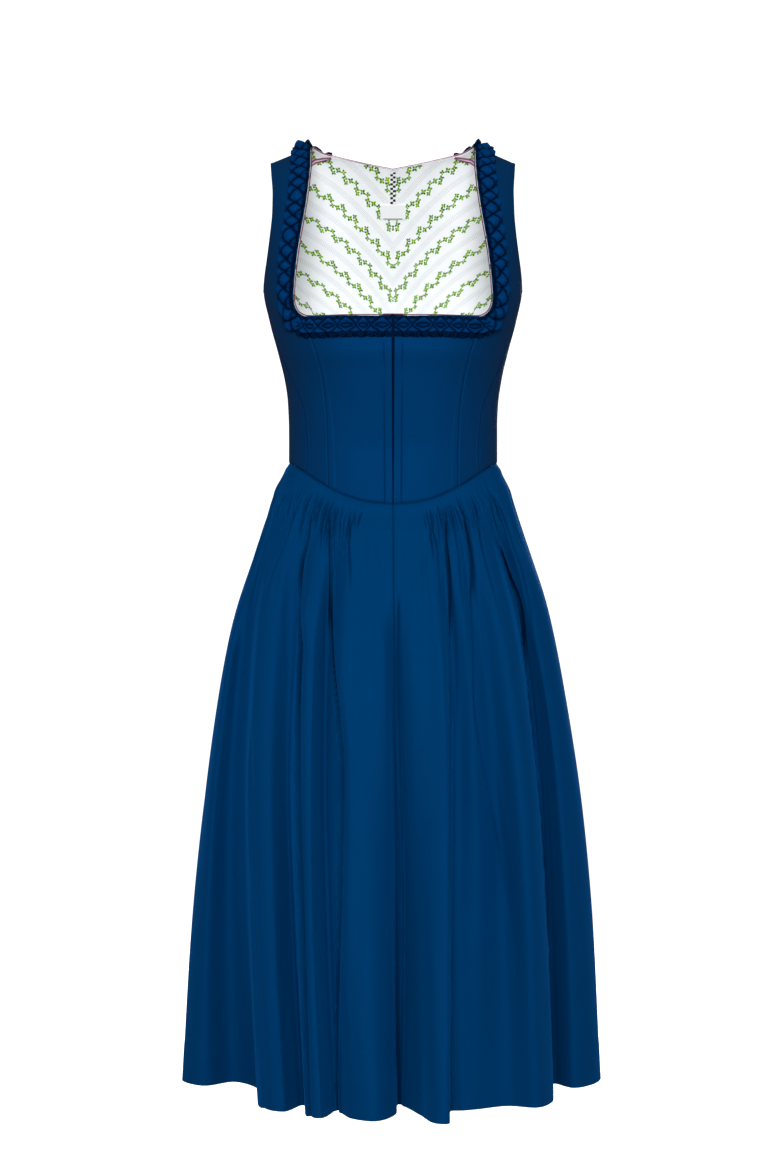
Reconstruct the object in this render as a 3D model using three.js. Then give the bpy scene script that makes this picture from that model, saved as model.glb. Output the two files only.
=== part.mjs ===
// Sleeveless midi dirndl, filled out as it is worn.
// Millimetres, +Z up, the front towards -Y. The origin is the middle of the shoulder line, where a wearer carries it.
//
// Every bodice piece lies on one body form. A place on the form is (psi, rise): psi is the angle from the side
// (0) to the middle (90 degrees), and rise runs from -1 low on the front, over the shoulder at 0, to +1 low on
// the back. The left half mirrors the right one. The skirt hangs from the waist seam and has a table of its own.
import * as THREE from "three";

// ---------- driving dimensions ----------
const BODICE_WALL = 1.4; // bodice cloth with its interlining
const LINING_WALL = 1.0;
const SKIRT_WALL = 1.2;
const SEAM_GAP = 0.3; // between pieces that are sewn together
const WAIST_GAP = 0.6; // at the waist seam, where the gathers are cut finer than the bodice above them
const FORM_DROP = 430; // from the shoulder line to the lowest point of the form
const SHOULDER_SLOPE = 0.42; // fall of the shoulder for each millimetre outwards
const SLOPE_FROM_X = 90; // the slope starts at the neck side of the strap
const SLOPE_FADE = 150; // and has faded out this far down
const BUST = { x: 72, drop: 222, out: 6, wide: 42, high: 46 };
const WAIST_SIDE_DROP = 359;
const WAIST_FRONT_DIP = 47.5; // the basque point at the centre front
const WAIST_BACK_DIP = 8;
const WAIST_DIP_POWER = 2.6; // how late the dip starts, coming from the side
const HEM_DROP = 1060.5;
const SLIT_TOP = 1.6; // half the gap between the front edges, at the neckline
const SLIT_BOTTOM = 0.4; // and at the waist
const TAPE = { halfWidth: 11, wall: 1.2 }; // hook-and-eye tape behind the slit
const RUCHE = { width: 23, pitch: 17, floor: 1.3, puff: 4.6, scallop: 1.6 };
const PIPING_RADIUS = 1.1;
const LABEL = { width: 29, height: 17, drop: 57, wall: 1 };
const HANGER = { width: 6, drop: 23, wall: 1 };

// Sections of the form, by drop below the shoulder line. square is the superellipse exponent.
const FORM = [
  { drop: 0, halfWidth: 141, front: 0, back: 0, square: 3.6 },
  { drop: 5, halfWidth: 141, front: 17, back: 16, square: 3.6 },
  { drop: 15, halfWidth: 142, front: 31, back: 29, square: 3.5 },
  { drop: 30, halfWidth: 142.5, front: 45, back: 41, square: 3.4 },
  { drop: 60, halfWidth: 143, front: 64, back: 58, square: 3.3 },
  { drop: 100, halfWidth: 143.6, front: 83, back: 74, square: 3.0 },
  { drop: 140, halfWidth: 145.6, front: 99, back: 84, square: 2.6 },
  { drop: 163, halfWidth: 146, front: 106, back: 87, square: 2.4 },
  { drop: 200, halfWidth: 139, front: 113, back: 86, square: 2.35 },
  { drop: 237, halfWidth: 129, front: 113, back: 82, square: 2.3 },
  { drop: 264, halfWidth: 122.6, front: 107, back: 78, square: 2.3 },
  { drop: 292, halfWidth: 118.8, front: 101, back: 75, square: 2.3 },
  { drop: 320, halfWidth: 117.6, front: 96, back: 74, square: 2.3 },
  { drop: 350, halfWidth: 117.6, front: 92, back: 74, square: 2.3 },
  { drop: FORM_DROP, halfWidth: 117.6, front: 92, back: 74, square: 2.3 },
];

// Seams, as distance from the middle by drop. The waist end of each is worked out.
const PRINCESS_SEAM = [
  { drop: 326, x: 72.6 },
  { drop: 283, x: 76 },
  { drop: 246, x: 83.5 },
  { drop: 229, x: 89 },
  { drop: 201.6, x: 97.5 },
];
const PRINCESS_WAIST_X = 71.5;
const SIDE_SEAM = [
  { drop: 347, x: 95.5 },
  { drop: 302, x: 98.8 },
  { drop: 275, x: 109 },
  { drop: 257, x: 117 },
  { drop: 240, x: 124.5 },
  { drop: 200, x: 138.2 },
  { drop: 163, x: 145.95 },
];
const SIDE_WAIST_X = 96;
const BACK_SEAM = [
  { drop: 330, x: 40 },
  { drop: 280, x: 50 },
  { drop: 230, x: 66 },
  { drop: 190, x: 84 },
  { drop: 150, x: 106 },
  { drop: 125, x: 122 },
  { drop: 108, x: 138.4 },
];
const BACK_WAIST_X = 38;

// Edge of the armhole, front and back alike, and the shoulder seam, which sits behind the shoulder line.
const ARMHOLE = [
  { drop: 0, x: 138.4 },
  { drop: 15, x: 137 },
  { drop: 45, x: 135 },
  { drop: 70, x: 135.3 },
  { drop: 100, x: 137.5 },
  { drop: 130, x: 141 },
  { drop: 150, x: 144.3 },
  { drop: 163, x: 145.95 },
];
const SHOULDER_SEAM = { neckX: 69, neckDrop: 12, armDrop: 33 };

// The neckline from the centre front, round the square corner, up the strap, over the shoulder to the back.
const NECKLINE = [
  { x: 0, drop: 203, side: -1 },
  { x: 45, drop: 203, side: -1 },
  { x: 86, drop: 203, side: -1 },
  { x: 97.5, drop: 201.6, side: -1 },
  { x: 105.5, drop: 196, side: -1 },
  { x: 109.6, drop: 187, side: -1 },
  { x: 110.3, drop: 175, side: -1 },
  { x: 109.3, drop: 158, side: -1 },
  { x: 105.9, drop: 128, side: -1 },
  { x: 96.8, drop: 69, side: -1 },
  { x: 93, drop: 30, side: -1 },
  { x: 91.5, drop: 0, side: 1 },
  { x: 82, drop: 7.5, side: 1 },
  { x: SHOULDER_SEAM.neckX, drop: SHOULDER_SEAM.neckDrop, side: 1 },
  { x: 35, drop: 16.5, side: 1 },
  { x: 0, drop: 21.5, side: 1 },
];

// Rows of each panel's grid, from the waist seam up.
const ROWS = { neckCorner: 7, underarm: 9, neckSide: 10, ridge: 18, shoulderSeam: 20, backTop: 14 };
const COLUMNS = { frontCentre: 3, frontSide: 4, side: 8, backNeck: 4 };

// Outline of the skirt: growth of the section below the waist, by share of the way to the hem.
const SKIRT_OUTLINE = [
  { down: 0, side: 0, front: 0, back: 0 },
  { down: 0.02, side: 7, front: 6, back: 7 },
  { down: 0.06, side: 17, front: 15, back: 18 },
  { down: 0.14, side: 37, front: 34, back: 38 },
  { down: 0.24, side: 60, front: 54, back: 59 },
  { down: 0.38, side: 80.5, front: 75, back: 80 },
  { down: 0.53, side: 96.5, front: 91, back: 96 },
  { down: 0.67, side: 106.5, front: 103, back: 108 },
  { down: 0.82, side: 115, front: 113, back: 118 },
  { down: 1, side: 122.4, front: 123, back: 128 },
];
const SKIRT_SQUARE = 2.25;

// Folds of the skirt, once round from the left side seam by the front. waist is the place on the waist seam as a
// share of the half width, x and y are where the fold's line meets the hem, from is where it starts to show, and
// mid is how much further in it stands half way down.
const FOLDS = [
  { waist: -1, side: -1, x: -239, y: 20, from: 0, mid: 0 }, // left side seam
  { waist: -0.995, side: -1, x: -213, y: -8, from: 0.3, mid: 0 },
  { waist: -0.985, side: -1, x: -181, y: 16, from: 0.2, mid: 4 },
  { waist: -0.968, side: -1, x: -153, y: -22, from: 0.16, mid: 0 }, // groove
  { waist: -0.91, side: -1, x: -141, y: -140, from: 0.2, mid: 0 },
  { waist: -0.81, side: -1, x: -117, y: -162, from: 0.1, mid: 0 },
  { waist: -0.7, side: -1, x: -98, y: -126, from: 0.05, mid: 6 }, // groove
  { waist: -0.62, side: -1, x: -91, y: -190, from: 0.16, mid: -3 },
  { waist: -0.54, side: -1, x: -77, y: -198, from: 0.06, mid: -4 },
  { waist: -0.465, side: -1, x: -61, y: -156, from: 0.03, mid: 14 }, // groove
  { waist: -0.36, side: -1, x: -43, y: -201, from: 0.05, mid: -4 },
  { waist: -0.2, side: -1, x: -19, y: -215, from: 0.14, mid: 0 },
  { waist: -0.08, side: -1, x: 2, y: -180, from: 0.24, mid: 0 },
  { waist: 0, side: -1, x: 6, y: -124, from: 0.16, mid: 4 }, // centre front seam, in a groove
  { waist: 0.1, side: -1, x: 28, y: -180, from: 0.22, mid: 0 },
  { waist: 0.22, side: -1, x: 44, y: -226, from: 0.3, mid: 0 },
  { waist: 0.32, side: -1, x: 56, y: -229, from: 0.16, mid: -3 },
  { waist: 0.41, side: -1, x: 60, y: -164, from: 0.08, mid: 9 }, // groove
  { waist: 0.48, side: -1, x: 88, y: -150, from: 0.1, mid: -6 },
  { waist: 0.55, side: -1, x: 124, y: -130, from: 0.06, mid: 9 }, // shallow groove, which fades low down
  { waist: 0.66, side: -1, x: 155, y: -140, from: 0.12, mid: -6 },
  { waist: 0.74, side: -1, x: 174, y: -108, from: 0.04, mid: -4 },
  { waist: 0.81, side: -1, x: 181, y: 6, from: 0.03, mid: 12 }, // the deepest groove
  { waist: 0.88, side: -1, x: 203, y: -20, from: 0.14, mid: 0 },
  { waist: 0.96, side: -1, x: 224, y: -2, from: 0.2, mid: 0 },
  { waist: 1, side: 1, x: 238, y: 40, from: 0.1, mid: 0 }, // right side seam
  { waist: 0.97, side: 1, x: 231, y: 88, from: 0.2, mid: 0 },
  { waist: 0.91, side: 1, x: 211, y: 112, from: 0.2, mid: 0 },
  { waist: 0.85, side: 1, x: 184, y: 74, from: 0.1, mid: 3 }, // groove
  { waist: 0.79, side: 1, x: 178, y: 138, from: 0.2, mid: 0 },
  { waist: 0.7, side: 1, x: 153, y: 160, from: 0.16, mid: 0 },
  { waist: 0.61, side: 1, x: 135, y: 116, from: 0.08, mid: 4 }, // groove
  { waist: 0.54, side: 1, x: 128, y: 172, from: 0.16, mid: 0 },
  { waist: 0.44, side: 1, x: 88, y: 200, from: 0.24, mid: -3 },
  { waist: 0.35, side: 1, x: 69, y: 128, from: 0.05, mid: 8 }, // groove
  { waist: 0.28, side: 1, x: 60, y: 190, from: 0.18, mid: 0 },
  { waist: 0.17, side: 1, x: 38, y: 203, from: 0.14, mid: 0 },
  { waist: 0.08, side: 1, x: 24, y: 166, from: 0.12, mid: 0 }, // shallow groove
  { waist: 0.01, side: 1, x: 2, y: 208, from: 0.22, mid: 0 },
  { waist: -0.11, side: 1, x: -32, y: 213, from: 0.2, mid: -3 },
  { waist: -0.2, side: 1, x: -50, y: 134, from: 0.04, mid: 9 }, // groove
  { waist: -0.27, side: 1, x: -60, y: 192, from: 0.2, mid: 0 },
  { waist: -0.38, side: 1, x: -81, y: 186, from: 0.14, mid: 0 },
  { waist: -0.46, side: 1, x: -96, y: 138, from: 0.1, mid: 3 }, // groove
  { waist: -0.53, side: 1, x: -110, y: 181, from: 0.2, mid: 0 },
  { waist: -0.63, side: 1, x: -145, y: 164, from: 0.22, mid: 0 },
  { waist: -0.71, side: 1, x: -157, y: 92, from: 0.06, mid: 6 }, // groove
  { waist: -0.78, side: 1, x: -171, y: 138, from: 0.2, mid: 0 },
  { waist: -0.86, side: 1, x: -197, y: 118, from: 0.2, mid: 0 },
  { waist: -0.92, side: 1, x: -207, y: 64, from: 0.12, mid: 0 }, // groove
  { waist: -0.97, side: 1, x: -228, y: 78, from: 0.2, mid: 0 },
];
const SEAM_FOLDS = { leftSide: 0, centreFront: 13, rightSide: 25 };
const FINE_STEPS = 4; // columns for each row of the table, in the gathers
const PLAIN_STEPS = 2; // and below them
const FINE_LEVELS = [0, 0.012, 0.05, 0.12];
const PLAIN_LEVELS = [0.2, 0.3, 0.42, 0.55, 0.68, 0.81, 0.92, 1];
const GATHERS = { height: 2.4, atSeam: 0.35, flatX: 34, fullX: 58 };
const GATHER_RISE = 0.045; // share of the way down where the gathers stand highest
const GATHER_END = 0.2;

// ---------- cloth ----------
function cloth(name, hex, roughness) {
  return new THREE.MeshStandardMaterial({ name, color: hex, roughness, metalness: 0 });
}
const BLUE_BODICE = cloth("bodice cloth", 0x003a6b, 0.85);
const BLUE_SKIRT = cloth("skirt cloth", 0x004272, 0.8);
const BLUE_RUCHE = cloth("ruched cloth", 0x06305f, 0.75);
const LINING_PRINT = cloth("printed cotton", 0xeef1f4, 0.9);
const PINK_PIPING = cloth("piping", 0xc98fb4, 0.6);
const NAVY_TAPE = cloth("hook tape", 0x0a1836, 0.9);
const CHECK_TAPE = cloth("hanger tape", 0x55585c, 0.8);
const WHITE_LABEL = cloth("woven label", 0xf2f3f5, 0.7);

// ---------- small maths ----------
const clamp = THREE.MathUtils.clamp;
const lerp = THREE.MathUtils.lerp;
const smooth = THREE.MathUtils.smoothstep;
const RIGHT_ANGLE = Math.PI / 2;

// A smooth curve through one column of a table, which never overshoots. scale turns the place into the abscissa.
function column(table, place, key, scale = (v) => v) {
  const xs = table.map((row) => scale(row[place]));
  const ys = table.map((row) => row[key]);
  const steps = xs.slice(1).map((x, i) => (ys[i + 1] - ys[i]) / (x - xs[i]));
  const slopes = ys.map((_, i) => {
    if (i === 0) return steps[0];
    if (i === ys.length - 1) return steps[i - 1];
    const product = steps[i - 1] * steps[i];
    return product <= 0 ? 0 : (2 * product) / (steps[i - 1] + steps[i]);
  });
  return (value) => {
    const x = clamp(scale(value), Math.min(xs[0], xs.at(-1)), Math.max(xs[0], xs.at(-1)));
    const rising = xs[1] > xs[0];
    let i = xs.findIndex((v, k) => k > 0 && (rising ? x <= v : x >= v)) - 1;
    if (i < 0) i = 0;
    const h = xs[i + 1] - xs[i];
    const t = (x - xs[i]) / h;
    const t2 = t * t;
    const t3 = t2 * t;
    return (
      ys[i] * (2 * t3 - 3 * t2 + 1) +
      ys[i + 1] * (3 * t2 - 2 * t3) +
      h * (slopes[i] * (t3 - 2 * t2 + t) + slopes[i + 1] * (t3 - t2))
    );
  };
}

// ---------- the body form ----------
const riseOf = (drop) => Math.sqrt(drop / FORM_DROP);
const formHalfWidth = column(FORM, "drop", "halfWidth", riseOf);
const formFront = column(FORM, "drop", "front", riseOf);
const formBack = column(FORM, "drop", "back", riseOf);
const formSquare = column(FORM, "drop", "square", riseOf);
const armholeX = column(ARMHOLE, "drop", "x");

function onForm(psi, rise) {
  const drop = FORM_DROP * rise * rise;
  const side = Math.sign(rise) || 1;
  const power = 2 / formSquare(drop);
  const x = formHalfWidth(drop) * Math.cos(clamp(psi, 0, RIGHT_ANGLE)) ** power;
  const depth = side < 0 ? formFront(drop) : formBack(drop);
  let y = side * depth * Math.sin(clamp(psi, 0, RIGHT_ANGLE)) ** power;
  if (side < 0) {
    const across = (x - BUST.x) / BUST.wide;
    const along = (drop - BUST.drop) / BUST.high;
    y -= BUST.out * Math.exp(-across * across - along * along);
  }
  const slope = SHOULDER_SLOPE * Math.max(0, x - SLOPE_FROM_X) * (1 - smooth(drop, 0, SLOPE_FADE));
  return new THREE.Vector3(x, y, -drop - slope);
}

// Outward normal of the form, from the two directions of its chart.
function formNormal(psi, rise) {
  const turn = 0.004;
  const step = 0.002;
  let across;
  if (psi > RIGHT_ANGLE - turn) across = new THREE.Vector3(-1, 0, 0);
  else if (psi < turn && Math.abs(rise) > riseOf(ARMHOLE.at(-1).drop) - 0.01)
    across = new THREE.Vector3(0, Math.sign(rise), 0);
  else across = onForm(psi + turn, rise).sub(onForm(Math.max(psi - turn, 0), rise));
  const up = onForm(psi, rise + step).sub(onForm(psi, rise - step));
  return up.cross(across).normalize();
}

// The chart place at distance x from the middle.
function place(x, drop, side) {
  const share = clamp(x / formHalfWidth(drop), 0, 1);
  return { psi: Math.acos(share ** (formSquare(drop) / 2)), rise: side * riseOf(drop) };
}

const mix = (a, b, t) => ({ psi: lerp(a.psi, b.psi, t), rise: lerp(a.rise, b.rise, t) });
const pointAt = (p, depth) =>
  onForm(p.psi, p.rise).addScaledVector(formNormal(p.psi, p.rise), -depth);

function waistDrop(psi, side) {
  const dip = side < 0 ? WAIST_FRONT_DIP : WAIST_BACK_DIP;
  return WAIST_SIDE_DROP + dip * Math.sin(psi) ** WAIST_DIP_POWER;
}

// The chart place on the waist seam at distance x from the middle.
function waistPlace(x, side) {
  const psi = place(x, FORM_DROP, side).psi;
  return { psi, rise: side * riseOf(waistDrop(psi, side)) };
}

// Places along a chart path, the same distance apart on the form.
function evenPlaces(path, count) {
  const along = [0];
  for (let i = 1; i < path.length; i++) along.push(along[i - 1] + pointAt(path[i], 0).distanceTo(pointAt(path[i - 1], 0)));
  return Array.from({ length: count + 1 }, (_, k) => {
    const want = (along.at(-1) * k) / count;
    const i = clamp(along.findIndex((d) => d >= want), 1, path.length - 1);
    return mix(path[i - 1], path[i], (want - along[i - 1]) / (along[i] - along[i - 1]));
  });
}

// ---------- seams and edges, as lists of places ----------
const DENSE = 60;
const spread = (count, make) => Array.from({ length: count + 1 }, (_, i) => make(i / count));

function seamPlaces(table, waistX, side, rows) {
  const start = waistPlace(waistX, side);
  const startDrop = FORM_DROP * start.rise * start.rise;
  const xAt = column([{ drop: startDrop, x: waistX }, ...table], "drop", "x");
  const path = spread(DENSE, (t) => {
    const drop = lerp(startDrop, table.at(-1).drop, t);
    return place(xAt(drop), drop, side);
  });
  path[0] = start;
  return evenPlaces(path, rows);
}

const princessSeam = seamPlaces(PRINCESS_SEAM, PRINCESS_WAIST_X, -1, ROWS.neckCorner);
const sideSeam = seamPlaces(SIDE_SEAM, SIDE_WAIST_X, -1, ROWS.underarm);
const backSeam = seamPlaces(BACK_SEAM, BACK_WAIST_X, 1, ROWS.underarm);

// The neckline as a smooth chart path, and its parts.
const NECK_CHART_SCALE = 400;
const neckCurve = new THREE.CatmullRomCurve3(
  NECKLINE.map((n) => new THREE.Vector3(n.x, n.side * riseOf(n.drop) * NECK_CHART_SCALE, 0)),
  false,
  "centripetal",
);
function neckPlace(index) {
  const p = neckCurve.getPoint(clamp(index / (NECKLINE.length - 1), 0, 1));
  const rise = p.y / NECK_CHART_SCALE;
  return place(Math.max(p.x, 0), FORM_DROP * rise * rise, Math.sign(rise) || 1);
}
const neckIndex = (test) => NECKLINE.findIndex(test);
const CORNER_INDEX = neckIndex((n) => n.x === PRINCESS_SEAM.at(-1).x);
const NECK_SIDE_INDEX = neckIndex((n) => n.x === Math.max(...NECKLINE.map((m) => m.x)));
const RIDGE_INDEX = neckIndex((n) => n.drop === 0);
const SEAM_INDEX = neckIndex((n) => n.x === SHOULDER_SEAM.neckX);
const neckPart = (from, to, rows) => evenPlaces(spread(DENSE, (t) => neckPlace(lerp(from, to, t))), rows);
const armholePart = (from, to, side, rows) =>
  evenPlaces(
    spread(DENSE, (t) => {
      const drop = lerp(Math.sqrt(from), Math.sqrt(to), t) ** 2;
      return place(armholeX(drop), drop, side);
    }),
    rows,
  );
const joined = (...parts) => parts.flatMap((part, i) => (i ? part.slice(1) : part));

const UNDERARM_DROP = ARMHOLE.at(-1).drop;
const strapInner = joined(
  princessSeam,
  neckPart(CORNER_INDEX, NECK_SIDE_INDEX, ROWS.neckSide - ROWS.neckCorner),
  neckPart(NECK_SIDE_INDEX, RIDGE_INDEX, ROWS.ridge - ROWS.neckSide),
  neckPart(RIDGE_INDEX, SEAM_INDEX, ROWS.shoulderSeam - ROWS.ridge),
);
const strapOuter = joined(
  sideSeam,
  armholePart(UNDERARM_DROP, 0, -1, ROWS.ridge - ROWS.underarm),
  armholePart(0, SHOULDER_SEAM.armDrop, 1, ROWS.shoulderSeam - ROWS.ridge),
);
const backOuter = joined(
  backSeam,
  armholePart(BACK_SEAM.at(-1).drop, SHOULDER_SEAM.armDrop, 1, ROWS.backTop - ROWS.underarm),
);

// ---------- walls ----------
// Makes a closed wall from two matching lists of rows. A row may have half the columns of the one above it.
// turned says at which cells the diagonal runs the other way.
function wallGeometry(outer, inner, turned = () => false) {
  const positions = [];
  const number = (rows) => rows.map((row) => row.map((p) => positions.push(p.x, p.y, p.z) / 3 - 1));
  const faces = [outer, inner].map(number);
  const triangles = [];
  const add = (a, b, c, flip) => triangles.push(...(flip ? [a, c, b] : [a, b, c]));
  faces.forEach((rows, layer) => {
    for (let r = 1; r < rows.length; r++) {
      const [a, b] = [rows[r - 1], rows[r]];
      const ratio = (a.length - 1) / (b.length - 1);
      for (let c = 0; c < b.length - 1; c++) {
        if (ratio === 2) {
          add(b[c], a[2 * c], a[2 * c + 1], layer);
          add(b[c], a[2 * c + 1], b[c + 1], layer);
          add(b[c + 1], a[2 * c + 1], a[2 * c + 2], layer);
        } else if (turned(r - 1, c)) {
          add(a[c], a[c + 1], b[c], layer);
          add(a[c + 1], b[c + 1], b[c], layer);
        } else {
          add(a[c], a[c + 1], b[c + 1], layer);
          add(a[c], b[c + 1], b[c], layer);
        }
      }
    }
  });
  const border = (rows) => [
    ...rows[0],
    ...rows.slice(1).map((row) => row.at(-1)),
    ...rows.at(-1).slice(0, -1).reverse(),
    ...rows.slice(1, -1).map((row) => row[0]).reverse(),
  ];
  const [rim, rimInside] = faces.map(border);
  rim.forEach((a, i) => {
    const next = (i + 1) % rim.length;
    add(a, rimInside[i], rim[next], false);
    add(rim[next], rimInside[i], rimInside[next], false);
  });
  const geometry = new THREE.BufferGeometry();
  geometry.setAttribute("position", new THREE.Float32BufferAttribute(positions, 3));
  geometry.setIndex(signedVolume(positions, triangles) < 0 ? triangles.reverse() : triangles);
  geometry.computeVertexNormals();
  return geometry;
}

function signedVolume(positions, triangles) {
  const corner = (i) => new THREE.Vector3().fromArray(positions, 3 * i);
  let sum = 0;
  for (let i = 0; i < triangles.length; i += 3)
    sum += corner(triangles[i]).dot(corner(triangles[i + 1]).cross(corner(triangles[i + 2])));
  return sum / 6;
}

// Draws the chosen borders of a grid in by half a seam gap.
function drawIn(rows, { first = true, last = true, left = true, right = true } = {}) {
  const towards = (p, q) => p.clone().add(q.clone().sub(p).setLength(SEAM_GAP / 2));
  const out = rows.map((row) => row.slice());
  rows.forEach((row, r) => {
    if (left) out[r][0] = towards(row[0], row[1]);
    if (right) out[r][row.length - 1] = towards(row.at(-1), row.at(-2));
  });
  const shift = (r, q) => out[r].map((p, c) => towards(p, rows[q][c] ?? p));
  if (first) out[0] = shift(0, 1);
  if (last) out[rows.length - 1] = shift(rows.length - 1, rows.length - 2);
  return out;
}

const dress = new THREE.Group();
dress.name = "dirndl";
function piece(name, geometry, material) {
  const mesh = new THREE.Mesh(geometry, material);
  mesh.name = name;
  dress.add(mesh);
}

// One wall of a panel. The grid is a list of rows of places, and a place with mirror -1 is on the left side.
function panel(name, grid, material, depth, thickness, borders) {
  const layer = (d) => {
    const rows = grid.map((row) => row.map((p) => {
      const q = pointAt(p, d);
      q.x *= p.mirror ?? 1;
      return q;
    }));
    return drawIn(rows, borders);
  };
  piece(name, wallGeometry(layer(depth), layer(depth + thickness)), material);
}
const toLeft = (row) => row.map((p) => ({ ...p, mirror: -1 })).reverse();

// ---------- bodice panels, as grids of places ----------
const across = (from, to, columns) => spread(columns, (t) => mix(from, to, t));

// Lets the lowest row of a front panel follow the dip of the waist seam, and the rows above it less and less.
const followWaist = (grid) =>
  grid.map((row, r) =>
    row.map((p, c) => {
      const low = grid[0][c];
      const sink = riseOf(waistDrop(low.psi, -1)) + low.rise;
      return { psi: p.psi, rise: p.rise - sink * (1 - smooth(r, 0, ROWS.neckCorner)) };
    }),
  );

// From the front edge, by the edge of the hook tape, to the princess seam.
const frontCentreGrid = followWaist(princessSeam.map((seam, r) => {
  const share = r / ROWS.neckCorner;
  const drop = lerp(WAIST_SIDE_DROP + WAIST_FRONT_DIP, NECKLINE[0].drop, share);
  const edge = place(lerp(SLIT_BOTTOM, SLIT_TOP, share), drop, -1);
  const tapeEdge = place(TAPE.halfWidth + SEAM_GAP, drop, -1);
  return [edge, ...across(tapeEdge, seam, COLUMNS.frontCentre)];
}));

const frontSideGrid = followWaist(strapInner.map((inner, r) => across(inner, strapOuter[r], COLUMNS.frontSide)));

// The side panel crosses from front to back below the armhole, so its places turn through the side.
const sideGrid = sideSeam.map((front, r) => {
  const back = backSeam[r];
  const dropOf = (p) => FORM_DROP * p.rise * p.rise;
  const share = r / ROWS.underarm;
  return spread(COLUMNS.side, (t) => {
    const angle = lerp(-front.psi, back.psi, t);
    const side = angle < 0 ? -1 : 1;
    const low = waistDrop(Math.abs(angle), side);
    const sag = Math.sin(Math.PI * t) * 9; // the armhole's lowest point lies just behind the side
    const high = lerp(UNDERARM_DROP, BACK_SEAM.at(-1).drop, t ** 1.6) + sag;
    const drop = t === 0 ? dropOf(front) : t === 1 ? dropOf(back) : lerp(low, high, share);
    return { psi: Math.abs(angle), rise: side * riseOf(drop) };
  });
});

// The back panel, from the middle out. The top row follows the neckline and then the shoulder seam.
const neckBack = neckPart(NECKLINE.length - 1, SEAM_INDEX, COLUMNS.backNeck);
const shoulderSeam = frontSideGrid.at(-1);
const backTop = joined(neckBack, shoulderSeam);
const backGrid = backOuter.map((outer, r) => {
  const share = r / ROWS.backTop;
  const outerTop = backTop.at(-1);
  return backTop.map((top, c) => {
    const reach = (RIGHT_ANGLE - top.psi) / (RIGHT_ANGLE - outerTop.psi);
    const psi = lerp(RIGHT_ANGLE, outer.psi, reach);
    const low = riseOf(waistDrop(psi, 1));
    const straight = lerp(low, top.rise, share);
    const offSeam = outer.rise - lerp(riseOf(waistDrop(outer.psi, 1)), outerTop.rise, share);
    return { psi, rise: straight + offSeam * reach ** 2 };
  });
});

// ---------- outer cloth and lining ----------
const LINING_DEPTH = BODICE_WALL + SEAM_GAP;
for (const right of [false, true]) {
  const hand = right ? "right" : "left";
  const turned = (grid) => (right ? grid : grid.map(toLeft));
  const edgeUncut = right ? { left: false } : { right: false };
  const outer = (name, grid, borders) =>
    panel(`${name}_${hand}`, turned(grid), BLUE_BODICE, 0, BODICE_WALL, borders);
  const lining = (name, grid, borders) =>
    panel(`lining_${name}_${hand}`, turned(grid), LINING_PRINT, LINING_DEPTH, LINING_WALL, borders);
  outer("front_centre", frontCentreGrid, edgeUncut);
  outer("front_side", frontSideGrid);
  outer("side", sideGrid);
  lining("front_side", frontSideGrid);
  lining("side", sideGrid);
  lining("back", backGrid);
}
const bothSides = (row) => [...toLeft(row).slice(0, -1), ...row];
panel("back", backGrid.map(bothSides), BLUE_BODICE, 0, BODICE_WALL);

// Tape with the hooks and eyes, behind the slit.
const uncut = { first: false, last: false, left: false, right: false };
const tapeGrid = frontCentreGrid.map(([, edge]) => {
  const drop = FORM_DROP * edge.rise ** 2;
  return bothSides([place(0, drop, -1), place(TAPE.halfWidth, drop, -1)]);
});
panel("hook_tape", tapeGrid, NAVY_TAPE, LINING_DEPTH, TAPE.wall, { left: false, right: false });

// ---------- ruched trim round the front neckline ----------
// From a place, walks a distance over the form in a fixed direction.
function walk(from, direction, distance) {
  const steps = 6;
  const small = 1e-3;
  let p = { ...from };
  for (let i = 0; i < steps; i++) {
    const here = pointAt(p, 0);
    const byPsi = onForm(Math.max(p.psi - small, 0), p.rise).sub(here).divideScalar(-small);
    const byRise = onForm(p.psi, p.rise + small).sub(here).divideScalar(small);
    const a = byPsi.dot(byPsi);
    const b = byPsi.dot(byRise);
    const d = byRise.dot(byRise);
    const [e, f] = [direction.dot(byPsi), direction.dot(byRise)];
    const scale = distance / steps / (a * d - b * b);
    p = { psi: p.psi + scale * (d * e - b * f), rise: p.rise + scale * (a * f - b * e) };
  }
  return p;
}

const QUARTERS = 4; // columns for each puff, and points across the band
const rucheEdge = joined(neckPart(0, CORNER_INDEX, DENSE), neckPart(CORNER_INDEX, SEAM_INDEX, DENSE));
const pathLength = (path) =>
  path.slice(1).reduce((sum, p, i) => sum + pointAt(p, 0).distanceTo(pointAt(path[i], 0)), 0);
const puffs = Math.round(pathLength(rucheEdge) / RUCHE.pitch);
const ruchePath = evenPlaces(rucheEdge, puffs * QUARTERS);
ruchePath[0] = place(SLIT_TOP, NECKLINE[0].drop, -1);

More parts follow.
